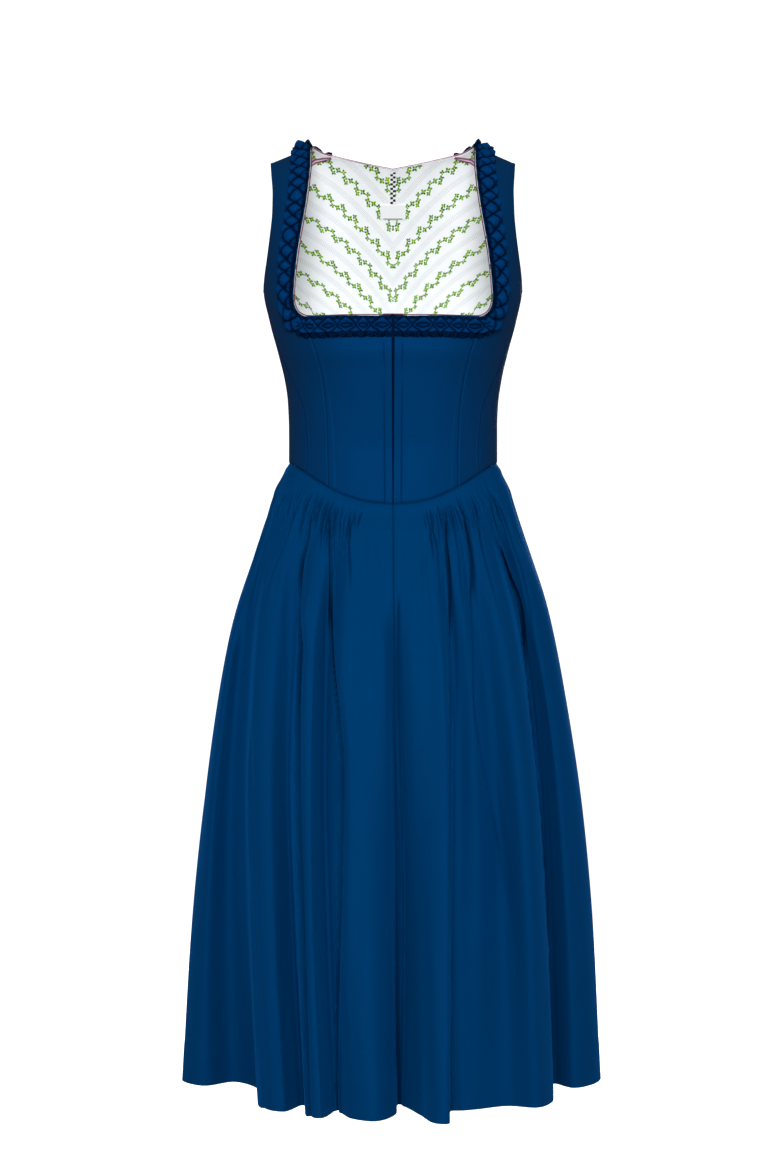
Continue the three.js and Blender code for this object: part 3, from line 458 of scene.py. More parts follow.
def back_grid(fine, neck_columns, strap_columns):
    """Half the back panel, from the middle out. The top row follows the neckline and then the shoulder seam."""
    rows = row_numbers(fine)
    outer = joined(
        seam_places(BACK_SEAM, BACK_WAIST_X, 1, rows["underarm"]),
        armhole_part(BACK_SEAM[-1][0], ARM_SEAM_DROP, 1, rows["back_top"] - rows["underarm"]),
    )
    seam = shoulder_seam(np.linspace(0, 1, strap_columns + 1))
    top = joined(neck_part(len(NECKLINE) - 1, NECK_SEAM, neck_columns), seam)[None]
    share = np.linspace(0, 1, rows["back_top"] + 1)[:, None]
    reach = (RIGHT_ANGLE - top[..., 0]) / (RIGHT_ANGLE - top[0, -1, 0])
    psi = RIGHT_ANGLE + (outer[:, None, 0] - RIGHT_ANGLE) * reach
    low = rise_of(waist_drop(psi, 1))
    low_outer = rise_of(waist_drop(outer[:, 0], 1))
    off = outer[:, 1] - (low_outer + (top[0, -1, 1] - low_outer) * share[:, 0])
    return np.stack((psi, low + (top[..., 1] - low) * share + off[:, None] * reach**2), -1)


# ---------- meshes ----------
def grid_faces(rows, columns, start=0, flip=False, closed=False):
    """Quads of a grid of vertex numbers. closed joins each row's end to its start."""
    number = start + np.arange(rows * columns).reshape(rows, columns)
    if closed:
        number = np.concatenate((number, number[:, :1]), 1)
    a, b, c, d = number[:-1, :-1], number[:-1, 1:], number[1:, 1:], number[1:, :-1]
    quads = np.stack((a, d, c, b) if flip else (a, b, c, d), -1)
    return quads.reshape(-1, 4)


def make_piece(name, points, faces, material, cloth=None, sharp=50):
    """A shaded mesh object from millimetre points. cloth holds each point's place on the flat cloth."""
    mesh = bpy.data.meshes.new(name)
    mesh.from_pydata((np.asarray(points) * MM).tolist(), [], [list(f) for f in faces])
    mesh.validate()
    if cloth is not None:
        flat = np.zeros((len(points), 3), np.float32)
        flat[:, : cloth.shape[1]] = cloth
        mesh.attributes.new("cloth_mm", "FLOAT_VECTOR", "POINT").data.foreach_set("vector", flat.ravel())
    mesh.shade_smooth()
    mesh.set_sharp_from_angle(angle=math.radians(sharp))
    mesh.materials.append(material)
    obj = bpy.data.objects.new(name, mesh)
    bpy.context.scene.collection.objects.link(obj)
    return obj


def wall_shape(outer, inner):
    """Points and outward faces of a closed wall between two grids of the same size."""
    rows, columns = outer.shape[:2]
    half = rows * columns
    number = np.arange(half).reshape(rows, columns)
    rim = np.concatenate((number[0], number[1:, -1], number[-1, -2::-1], number[-2:0:-1, 0]))
    after = np.roll(rim, -1)
    sides = np.stack((rim, rim + half, after + half, after), -1)
    faces = np.concatenate((grid_faces(rows, columns), grid_faces(rows, columns, half, True), sides))
    a, b, c = outer[0, 0], outer[0, 1], outer[1, 1]
    if np.dot(np.cross(b - a, c - a), a - inner[0, 0]) < 0:
        faces = faces[:, ::-1]
    return np.concatenate((outer.reshape(-1, 3), inner.reshape(-1, 3))), faces


def finish_piece(obj):
    """Rides a piece, named for its node and what it is, on the one body in its node's place, and hides its CAD
    part.
    """
    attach(obj, "root")
    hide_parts(obj.name.rsplit("_", 1)[0])


def wall_piece(node, outer, inner, cloth, material):
    """A closed cloth wall in a node's place, with the same place on the flat cloth inside and out."""
    both = np.concatenate((cloth.reshape(-1, cloth.shape[-1]),) * 2)
    obj = make_piece(f"{node}_cloth", *wall_shape(outer, inner), material, both)
    finish_piece(obj)


def border_distances(points):
    """Distance of each point of a grid from its left, right, lowest and highest border, along the cloth."""
    across = np.linalg.norm(np.diff(points, axis=1), axis=2)
    up = np.linalg.norm(np.diff(points, axis=0), axis=2)
    left = np.concatenate((np.zeros((len(points), 1)), np.cumsum(across, 1)), 1)
    low = np.concatenate((np.zeros((1, points.shape[1])), np.cumsum(up, 0)), 0)
    return left, left[:, -1:] - left, low, low[-1:] - low


# ---------- materials ----------
def add(tree, kind, inputs=(), **values):
    """Adds a shader node. inputs maps socket names or numbers to values or to other nodes' sockets."""
    node = tree.nodes.new("ShaderNode" + kind)
    for key, value in values.items():
        setattr(node, key, value)
    for key, value in dict(inputs).items():
        if isinstance(value, bpy.types.NodeSocket):
            tree.links.new(value, node.inputs[key])
        else:
            node.inputs[key].default_value = value
    return node


def math_chain(tree, value, *steps):
    """Feeds a socket through Math nodes, each given as (operation, second operand)."""
    for operation, operand in steps:
        value = add(tree, "Math", {0: value, 1: operand}, operation=operation).outputs[0]
    return value


def new_material(name):
    material = bpy.data.materials.new(name)
    material.use_nodes = True
    tree = material.node_tree
    tree.nodes.clear()
    shader = add(tree, "BsdfPrincipled")
    output = add(tree, "OutputMaterial", {"Surface": shader.outputs[0]})
    output.target = "ALL"
    return material, tree, shader


def wave(tree, place_at, pitch_mm):
    """A sine wave along one direction of the cloth, as crossing threads and ribs make it."""
    return math_chain(tree, place_at, ("MULTIPLY", 2 * math.pi / pitch_mm), ("SINE", 0))


def surface(tree, shader, tint, relief, roughness, gloss=0.5):
    """Gives a shader its colour, its fine relief (height, strength, depth in mm) and its gloss."""
    height, strength, depth_mm = relief
    bump = add(tree, "Bump", {"Height": height, "Strength": strength, "Distance": depth_mm * MM})
    tree.links.new(tint.outputs[0], shader.inputs["Base Color"])
    tree.links.new(bump.outputs[0], shader.inputs["Normal"])
    shader.inputs["Roughness"].default_value = roughness
    shader.inputs["Specular IOR Level"].default_value = gloss


def cloth_place(tree):
    """The place on the flat cloth in millimetres, as a vector socket and its three numbers."""
    flat = add(tree, "Attribute", attribute_name="cloth_mm").outputs["Vector"]
    split = add(tree, "SeparateXYZ", {0: flat})
    return flat, *split.outputs


def woven_cotton(name, base, thread_mm, relief_mm, mottle, sheen, gloss=0.1, roughness=0.9):
    """Dyed plain-weave cotton. The crossing threads give a fine even grain, uneven yarn a faint mottling along
    both directions, and the fibre ends a sheen in the cloth's own colour. Calendered cloth has a broad gloss in
    that colour too. The third number of cloth_mm is painted shade: it darkens the colour where the cloth is
    pinched into folds, creases and grooves, where the fibres lie in each other's shade."""
    material, tree, shader = new_material(name)
    flat, x, y, painted_shade = cloth_place(tree)
    warp, weft = wave(tree, x, thread_mm), wave(tree, y, thread_mm)
    weave = math_chain(tree, warp, ("MULTIPLY", weft))
    # Uneven yarn: noise drawn out along the weft and along the warp.
    slubs = []
    for stretch in ((0.09, 1.1, 1.0), (1.1, 0.07, 1.0)):
        drawn = add(tree, "Mapping", {"Vector": flat, "Scale": stretch})
        slubs.append(add(tree, "TexNoise", {"Vector": drawn.outputs[0], "Scale": 0.9, "Detail": 3}).outputs[0])
    slub = math_chain(tree, slubs[0], ("ADD", slubs[1]), ("SUBTRACT", 1.0))
    cloud = add(tree, "TexNoise", {"Vector": flat, "Scale": 0.022, "Detail": 3}).outputs[0]
    shade = math_chain(
        tree,
        math_chain(tree, slub, ("MULTIPLY", mottle)),
        ("ADD", math_chain(tree, cloud, ("SUBTRACT", 0.5), ("MULTIPLY", mottle * 0.8))),
        ("ADD", math_chain(tree, weave, ("MULTIPLY", mottle * 0.25))),
        ("ADD", 1.0),
        # painted shade: the colour is darkened by up to nine tenths
        ("MULTIPLY", math_chain(tree, painted_shade, ("MULTIPLY", -0.9), ("ADD", 1.0))),
    )
    tint = add(tree, "MixRGB", {0: 1.0, 1: tuple(base), 2: shade}, blend_type="MULTIPLY")
    height = math_chain(tree, weave, ("MULTIPLY", 0.5), ("ADD", math_chain(tree, slub, ("MULTIPLY", 1.4))))
    surface(tree, shader, tint, (height, 1.0, relief_mm), roughness, gloss)
    shader.inputs["Specular Tint"].default_value = linear(0x0088FF)
    shader.inputs["Sheen Weight"].default_value = sheen
    shader.inputs["Sheen Roughness"].default_value = 0.45
    shader.inputs["Sheen Tint"].default_value = linear(0x0072C8)
    return material


# Sprigs of one repeat of the printed row: place along the row, height over it, leaves' reach and turn. Every
# other row is the same turned by 180 degrees.
SPRIGS = [(0.0, 1.7, 1.0, 0.75), (11.6, 3.9, 0.85, 0.1), (7.2, -1.0, 1.0, 0.35), (3.2, -4.1, 0.85, 0.9)]
SPRIG_REPEAT = 17.8
ROW_PITCH = 40.6
ROW_CLOSING = 0.045  # how much closer the rows come for each millimetre from the middle
FIRST_ROW_DROP = 44
ROW_RISE, ROW_BEND = 1.15, 0.0039  # the rows rise steeply from the middle and flatten outwards
ROW_LENGTH, ROW_SHORTENING = 1.53, 0.0029  # length along such a row for its distance from the middle
LEAF_FROM, LEAF_LONG, LEAF_WIDE = 2.85, 2.3, 1.75  # a leaf's middle and half axes, counted on the diagonal
DOT_BAND, DOT_LINES, DOT_PITCH = 3.3, 1.85, 1.9  # half the dotted band, and the spacing of its lines and dots
LAWN_THREAD = 0.9  # lawn threads of 0.3 mm, drawn at 0.9 mm so that they show


def printed_cotton(name, colours):
    """White cotton lawn with a screen-printed stripe: rows of small green sprigs run down to the middle of the
    back in chevrons, with lines of pale grey dots half way between them."""
    material, tree, shader = new_material(name)
    flat, x, y, _ = cloth_place(tree)

    def chain(value, *steps):
        return math_chain(tree, value, *steps)

    across = chain(x, ("ABSOLUTE", 0))
    square = chain(across, ("MULTIPLY", across))
    rise = chain(across, ("MULTIPLY", ROW_RISE), ("SUBTRACT", chain(square, ("MULTIPLY", ROW_BEND))))
    slope = chain(across, ("MULTIPLY", -2 * ROW_BEND), ("ADD", ROW_RISE))
    cosine = chain(slope, ("MULTIPLY", slope), ("ADD", 1.0), ("POWER", -0.5))
    sine = chain(slope, ("MULTIPLY", cosine))
    over = chain(
        y, ("ADD", FIRST_ROW_DROP), ("SUBTRACT", rise), ("MULTIPLY", ROW_PITCH),
        ("DIVIDE", chain(across, ("MULTIPLY", -ROW_CLOSING), ("ADD", ROW_PITCH))),
    )
    row = chain(over, ("DIVIDE", ROW_PITCH), ("ADD", 0.5), ("FLOOR", 0))
    off_row = chain(over, ("SUBTRACT", chain(row, ("MULTIPLY", ROW_PITCH))))
    turned = chain(row, ("FLOORED_MODULO", 2.0), ("MULTIPLY", 2.0), ("SUBTRACT", 1.0))
    along = chain(
        across, ("MULTIPLY", ROW_LENGTH), ("SUBTRACT", chain(square, ("MULTIPLY", ROW_SHORTENING))),
        ("ADD", chain(off_row, ("MULTIPLY", sine))),
    )
    n = chain(off_row, ("MULTIPLY", cosine), ("MULTIPLY", turned))
    s = chain(along, ("MULTIPLY", turned))
    leaves = None
    for centre, lift, reach, turn in SPRIGS:
        half_way = SPRIG_REPEAT / 2
        ds = chain(s, ("SUBTRACT", centre - half_way), ("FLOORED_MODULO", SPRIG_REPEAT), ("SUBTRACT", half_way))
        dn = chain(n, ("SUBTRACT", lift))
        c, k = math.cos(turn), math.sin(turn)
        p = chain(ds, ("MULTIPLY", c), ("ADD", chain(dn, ("MULTIPLY", k))), ("ABSOLUTE", 0))
        q = chain(dn, ("MULTIPLY", c), ("SUBTRACT", chain(ds, ("MULTIPLY", k))), ("ABSOLUTE", 0))
        # One leaf in each quarter: an ellipse on the diagonal.
        long = chain(p, ("ADD", q), ("SUBTRACT", LEAF_FROM * reach), ("DIVIDE", LEAF_LONG * reach))
        wide = chain(p, ("SUBTRACT", q), ("DIVIDE", LEAF_WIDE * reach))
        leaf = chain(long, ("POWER", 2), ("ADD", chain(wide, ("POWER", 2))), ("LESS_THAN", 1.0))
        leaves = leaf if leaves is None else chain(leaves, ("MAXIMUM", leaf))
    spots = add(tree, "TexNoise", {"Vector": flat, "Scale": 0.45, "Detail": 1}).outputs[0]
    light_share = chain(spots, ("SUBTRACT", 0.42), ("MULTIPLY", 5.0))
    greens = {0: light_share, 1: tuple(colours.leaf_dark), 2: tuple(colours.leaf_light)}
    green = add(tree, "MixRGB", greens, use_clamp=True)
    # Dotted lines half way between the rows, drawn coarser than the real half-millimetre dots.
    half = chain(
        over, ("DIVIDE", ROW_PITCH), ("FLOORED_MODULO", 1.0), ("SUBTRACT", 0.5), ("MULTIPLY", cosine),
        ("MULTIPLY", ROW_PITCH),
    )
    in_band = chain(half, ("ABSOLUTE", 0), ("LESS_THAN", DOT_BAND))
    line = chain(half, ("DIVIDE", DOT_LINES), ("FLOORED_MODULO", 1.0), ("SUBTRACT", 0.5), ("ABSOLUTE", 0))
    line = chain(line, ("LESS_THAN", 0.24))
    dash = chain(along, ("DIVIDE", DOT_PITCH), ("FLOORED_MODULO", 1.0), ("LESS_THAN", 0.42))
    dots = chain(in_band, ("MULTIPLY", line), ("MULTIPLY", dash))
    # Painted shade: soft noise greys the white ground in broad patches.
    soft = add(tree, "TexNoise", {"Vector": flat, "Scale": 0.03, "Detail": 2}).outputs[0]
    painted_shade_share = chain(soft, ("SUBTRACT", 0.35), ("MULTIPLY", 1.6))
    whites = {0: painted_shade_share, 1: tuple(colours.lining), 2: linear(0xEDEEF6)}
    ground = add(tree, "MixRGB", whites, use_clamp=True)
    dotted = add(tree, "MixRGB", {0: dots, 1: ground.outputs[0], 2: tuple(colours.dots)})
    printed = add(tree, "MixRGB", {0: leaves, 1: dotted.outputs[0], 2: green.outputs[0]})
    warp = wave(tree, x, LAWN_THREAD)
    weave = chain(wave(tree, y, LAWN_THREAD), ("MULTIPLY", warp))
    surface(tree, shader, printed, (weave, 0.5, 0.05), 0.9, 0.15)
    return material


def satin_binding(name, base, dark):
    """Polyester satin bias binding rolled over a cord. Noise mixes its colour in soft streaks towards a redder
    tone, painted highlight and shade for the light its floating threads catch and the seam it is pressed into. It
    shows its paler back where it is folded open."""
    material, tree, shader = new_material(name)
    flat, x, y, pale = cloth_place(tree)
    # Painted highlight and shade: soft noise streaks towards the second colour.
    painted_streak = add(tree, "TexNoise", {"Vector": flat, "Scale": 0.06, "Detail": 2}).outputs[0]
    rolled = add(tree, "MixRGB", {0: painted_streak, 1: tuple(base), 2: dark})
    tint = add(tree, "MixRGB", {0: pale, 1: rolled.outputs[0], 2: linear(0xEBB4DA)})
    ribs = wave(tree, math_chain(tree, x, ("ADD", y)), 1.2)  # twill of 0.4 mm, drawn coarser so that it shows
    surface(tree, shader, tint, (ribs, 0.4, 0.06), 0.42, 0.4)
    return material


def chequered_ribbon(name, dark, light):
    """Narrow cotton ribbon woven in two rows of black and white checks, with a flat rib over the weft."""
    material, tree, shader = new_material(name)
    _, x, y, _ = cloth_place(tree)
    check_wide, check_high = 3.1, 2.9
    columns = math_chain(tree, x, ("DIVIDE", check_wide), ("FLOOR", 0))
    rows = math_chain(tree, y, ("DIVIDE", check_high), ("FLOOR", 0), ("ADD", columns), ("FLOORED_MODULO", 2.0))
    checks = add(tree, "MixRGB", {0: rows, 1: light, 2: dark})
    surface(tree, shader, checks, (wave(tree, y, 0.8), 0.6, 0.1), 0.8)
    return material


def satin_label(name, base, foot_line_colour):
    """Woven polyester label, damask satin. It is bare, with a dark grey line along its foot."""
    material, tree, shader = new_material(name)
    _, x, y, _ = cloth_place(tree)
    line_at, half_line, half_length = 1.1, 0.55, 11.0
    near_foot = math_chain(tree, y, ("SUBTRACT", line_at), ("ABSOLUTE", 0), ("LESS_THAN", half_line))
    inside = math_chain(tree, x, ("ABSOLUTE", 0), ("LESS_THAN", half_length))
    foot_line = math_chain(tree, near_foot, ("MULTIPLY", inside))
    tint = add(tree, "MixRGB", {0: foot_line, 1: tuple(base), 2: foot_line_colour})
    ribs = wave(tree, y, 0.7)  # weft of 0.2 mm, drawn coarser so that it shows
    surface(tree, shader, tint, (ribs, 0.3, 0.05), 0.5)
    return material


# ---------- bodice ----------
# Soft unevenness of pressed cloth over its interlining: waves as (per mm sideways, per mm up, phase, height).
LUMPS = [
    (0.051, 0.023, 0.4, 0.16), (-0.034, 0.047, 2.1, 0.14), (0.083, -0.031, 4.4, 0.08),
    (0.027, 0.091, 1.3, 0.08), (-0.107, 0.064, 5.2, 0.05), (0.131, 0.118, 3.3, 0.03),
]


def lumps(points, phase):
    x, z = points[..., 0], points[..., 2]
    return sum(h * np.sin(a * x + b * z + c + phase) for a, b, c, h in LUMPS)


def seam_dip(distance):
    """Where two pieces are sewn together, both turn in."""
    return -bell(distance, 1.1)


def painted_groove_shade(height):
    """Shade painted into a seam's groove, darker the deeper the cloth lies there, where little light gets in."""
    return 0.8 * np.clip(-height / 1.1, 0, 1) ** 1.3


def pressed_edge(distance, width, height=0.55):
    """Seam allowance pressed flat under the cloth: a low terrace that ends in a faint ridge."""
    terrace = height * (1 - ease(distance, width - 1.0, width + 0.9))
    return terrace + 0.45 * height * bell(distance - width + 0.7, 0.7)


def rolled_edge(distance, fold=3.6):
    """A turned edge: rounded over, with the line of its understitching further in."""
    over = np.clip(1 - distance / 1.0, 0, 1)
    body = 0.28 * (1 - ease(distance, fold - 0.6, fold + 0.5))
    return body - 0.7 * (1 - np.sqrt(1 - over**2)) - 0.3 * bell(distance - fold, 0.55)


def front_facing(distance, width):
    """Front edge with its facing: a double line where the facing is stitched down."""
    over = np.clip(1 - distance / 1.0, 0, 1)
    return (
        0.6 * (1 - ease(distance, width - 0.5, width + 0.6))
        - 0.7 * (1 - np.sqrt(1 - over**2))
        - 0.6 * bell(distance - width - 0.3, 0.75)
        + 0.4 * bell(distance - width - 2.4)
        - 0.25 * bell(distance - width + 2.6, 0.7)
    )


def bodice_piece(part, hand, grid, relief, phase, material):
    """One sewn bodice piece over the body form. relief maps border distances to height."""
    base, normal = laid(grid)
    left, right, low, high = border_distances(base)
    shaped = relief(left, right, low, high)
    outer = base + normal * (shaped + lumps(base, phase))[..., None]
    inner = base - normal * BODICE_WALL
    outer[0, :, 2] -= BODICE_LAP
    inner[0, :, 2] -= BODICE_LAP
    # The third number is painted shade in the grooves of the seams.
    cloth = np.stack((left, base[..., 2], painted_groove_shade(shaped)), -1)
    if hand == "left":
        outer, inner, cloth = (a[:, ::-1].copy() for a in (outer, inner, cloth))
        outer[..., 0] *= -1
        inner[..., 0] *= -1
    wall_piece(f"{part}_{hand}", outer, inner, cloth, material)


class DIRNDL_OT_bodice(bpy.types.Operator):
    """Make the seven sewn pieces of the bodice, with pressed seams and turned edges"""

    bl_idname = "dirndl.bodice"
    bl_label = "Bodice"

    def execute(self, context):
        cotton = woven_cotton(
            "calendered cotton poplin, woven and dyed", settings("colours").bodice,
            thread_mm=1.3, relief_mm=0.09, mottle=0.1, sheen=0.0, gloss=1.0, roughness=0.72,
        )
        facing = settings("sizes").facing_width / MM
        fine, back_fine = 15, 10

        def on_seam_share(distance, fine):
            """1 below the armhole, where the panel's outer border is a seam, and 0 along the armhole."""
            rows, turn = np.arange(len(distance))[:, None], ROW_PARTS["underarm"] * fine
            return 1 - ease(rows, turn - 8, turn + 6)

        def front_centre(left, right, low, high):
            share = low / low[-1:]
            allowance = 8.6 - 3.6 * ease(share, 0.1, 0.8)
            fade = 1 - 0.75 * ease(share, 0.25, 0.95)
            return (
                front_facing(left, facing) + seam_dip(right) + seam_dip(low)
                + pressed_edge(right, allowance) * fade
            )

        def front_side(left, right, low, high):
            on_seam = on_seam_share(left, fine)
            seam = seam_dip(right) + pressed_edge(right, 4.2, 0.34)
            return (
                seam_dip(left) + 0.5 * pressed_edge(left, 3.4) + seam_dip(low) + seam_dip(high)
                + seam * on_seam + rolled_edge(right) * (1 - on_seam)
            )

        def side(left, right, low, high):
            return (
                seam_dip(left) + seam_dip(right) + seam_dip(low) + rolled_edge(high)
                + 0.6 * pressed_edge(left, 3.0) + 0.8 * pressed_edge(right, 6.0)
            )

        def half_back(left, right, low, high):
            on_seam = on_seam_share(left, back_fine)
            return (
                seam_dip(low) + seam_dip(high) + seam_dip(right) * on_seam
                + pressed_edge(right, 6.0) * on_seam + rolled_edge(right) * (1 - on_seam)
            )

        parts = (
            ("front_centre", front_centre_grid(fine, 64), front_centre),
            ("front_side", front_side_grid(fine, 28), front_side),
            ("side", side_grid(fine, 52), side),
        )
        for hand, phase in (("left", 0.0), ("right", 1.9)):
            for part, grid, relief in parts:
                bodice_piece(part, hand, grid, relief, phase, cotton)
        half = back_grid(back_fine, 30, 20)
        base, normal = laid(half)
        shaped = half_back(*border_distances(base))
        sides = []
        for mirror, phase in ((-1, 0.7), (1, 2.6)):
            lifted = base + normal * (shaped + lumps(base, phase) * ease(base[..., 0], 0, 40))[..., None]
            sides.append([a * (mirror, 1, 1) for a in (lifted, base - normal * BODICE_WALL)])
        outer, inner = (np.concatenate((left[:, :0:-1], right), 1) for left, right in zip(*sides))
        outer[0, :, 2] -= BODICE_LAP
        inner[0, :, 2] -= BODICE_LAP
        # Painted shade in the grooves of the seams.
        painted_shade = painted_groove_shade(shaped)
        cloth = np.stack((outer[..., 0], outer[..., 2], np.concatenate((painted_shade[:, :0:-1], painted_shade), 1)), -1)
        wall_piece("back", outer, inner, cloth, cotton)
        return {"FINISHED"}


# ---------- lining, hook tape, hanger tape and label ----------
class DIRNDL_OT_lining(bpy.types.Operator):
    """Make the printed lining pieces, with the print running in chevrons to the middle of the back"""

    bl_idname = "dirndl.lining"
    bl_label = "Lining"

    def execute(self, context):
        printed = printed_cotton("printed cotton lawn", settings("colours"))
        grids = {"front_side": front_side_grid(6, 14), "side": side_grid(7, 28), "back": back_grid(8, 24, 16)}
        for part, grid in grids.items():
            base, normal = laid(grid)
            left, right, *_ = border_distances(base)
            dip = 0.35 * bell(np.minimum(left, right), 1.6) * (part == "back")
            # The print runs on round the body, so it is counted along the cloth.
            across = {"front_side": base[..., 0], "side": 1.06 * base[:, -1:, 0] + right, "back": left}[part]
            for mirror, hand in ((-1, "left"), (1, "right")):
                soft = 0.8 * lumps(base, 3.1 + mirror)
                inside = LINING_DEPTH + LINING_WALL - dip + np.clip(soft, -0.3, 0.5)
                outer = (base - normal * LINING_DEPTH) * (mirror, 1, 1)
                inner = (base - normal * inside[..., None]) * (mirror, 1, 1)
                cloth = np.stack((across * mirror, base[..., 2]), -1)
                if mirror < 0:
                    outer, inner, cloth = (a[:, ::-1] for a in (outer, inner, cloth))
                wall_piece(f"lining_{part}_{hand}", outer, inner, cloth, printed)
        return {"FINISHED"}


def patch_piece(node, slot, material, side, half_width, top, bottom, depth, wall, edge, step, sheet):
    """A small flat strip that lies on the form, from top to bottom: tape or label. Its woven edges are thicker by
    edge, and its rows stand a step apart."""
    rows = max(8, round((bottom - top) / step))
    xs = np.linspace(-half_width, half_width, 25)
    drop = np.linspace(bottom, top, rows + 1)[:, None]
    places = place(np.abs(xs)[None], drop, side)
    base, normal = laid(places)
    left, right, low, high = border_distances(base)
    rim, ends = edge * bell(np.minimum(left, right), 0.8), -0.3 * bell(np.minimum(low, high), 0.8)
    sign = np.where(xs < 0, -1, 1)[None, :, None]
    turned = np.concatenate((sign, np.ones_like(sign), np.ones_like(sign)), -1)
    facing = -1 if side > 0 else 1
    outer = (base - normal * depth) * turned
    inner = (base - normal * (depth + wall + (rim + ends) * -facing)[..., None]) * turned
    cloth = np.stack(np.broadcast_arrays(xs[None], low), -1)
    wall_piece(node, outer, inner, cloth, material)


class DIRNDL_OT_tapes(bpy.types.Operator):
    """Make the hook tape behind the slit, the hanger tape and the bare label on the back lining"""

    bl_idname = "dirndl.tapes"
    bl_label = "Tapes and label"

    def execute(self, context):
        colours = settings("colours")
        tape = woven_cotton(
            "cotton hook tape, twill", colours.hook_tape, thread_mm=1.1, relief_mm=0.15, mottle=0.15, sheen=0.0
        )
        ribbon = chequered_ribbon("chequered ribbon, woven", linear(0x0B0B0E), linear(0xF0F1F3))
        label = satin_label("woven satin label", colours.label, linear(0x4A5052))
        tape_end = WAIST_SIDE_DROP + WAIST_FRONT_DIP - 0.8
        on_lining = LINING_DEPTH + LINING_WALL + SEAM_GAP
        for patch in (
            ("hook_tape", "hook_tape", tape, -1, TAPE_HALF, TAPE_TOP, tape_end, LINING_DEPTH, TAPE_WALL,
             0.35, 2.0, "hook_tape"),
            ("hanger_tape", "hanger_tape", ribbon, 1, HANGER_HALF, HANGER_TOP, HANGER_FOOT, on_lining, PATCH_WALL,
             0.1, 0.7, None),
            ("label", "woven_label", label, 1, LABEL_HALF, LABEL_TOP, LABEL_FOOT, on_lining, PATCH_WALL,
             0.15, 0.7, "label"),
        ):
            patch_piece(*patch)
        return {"FINISHED"}


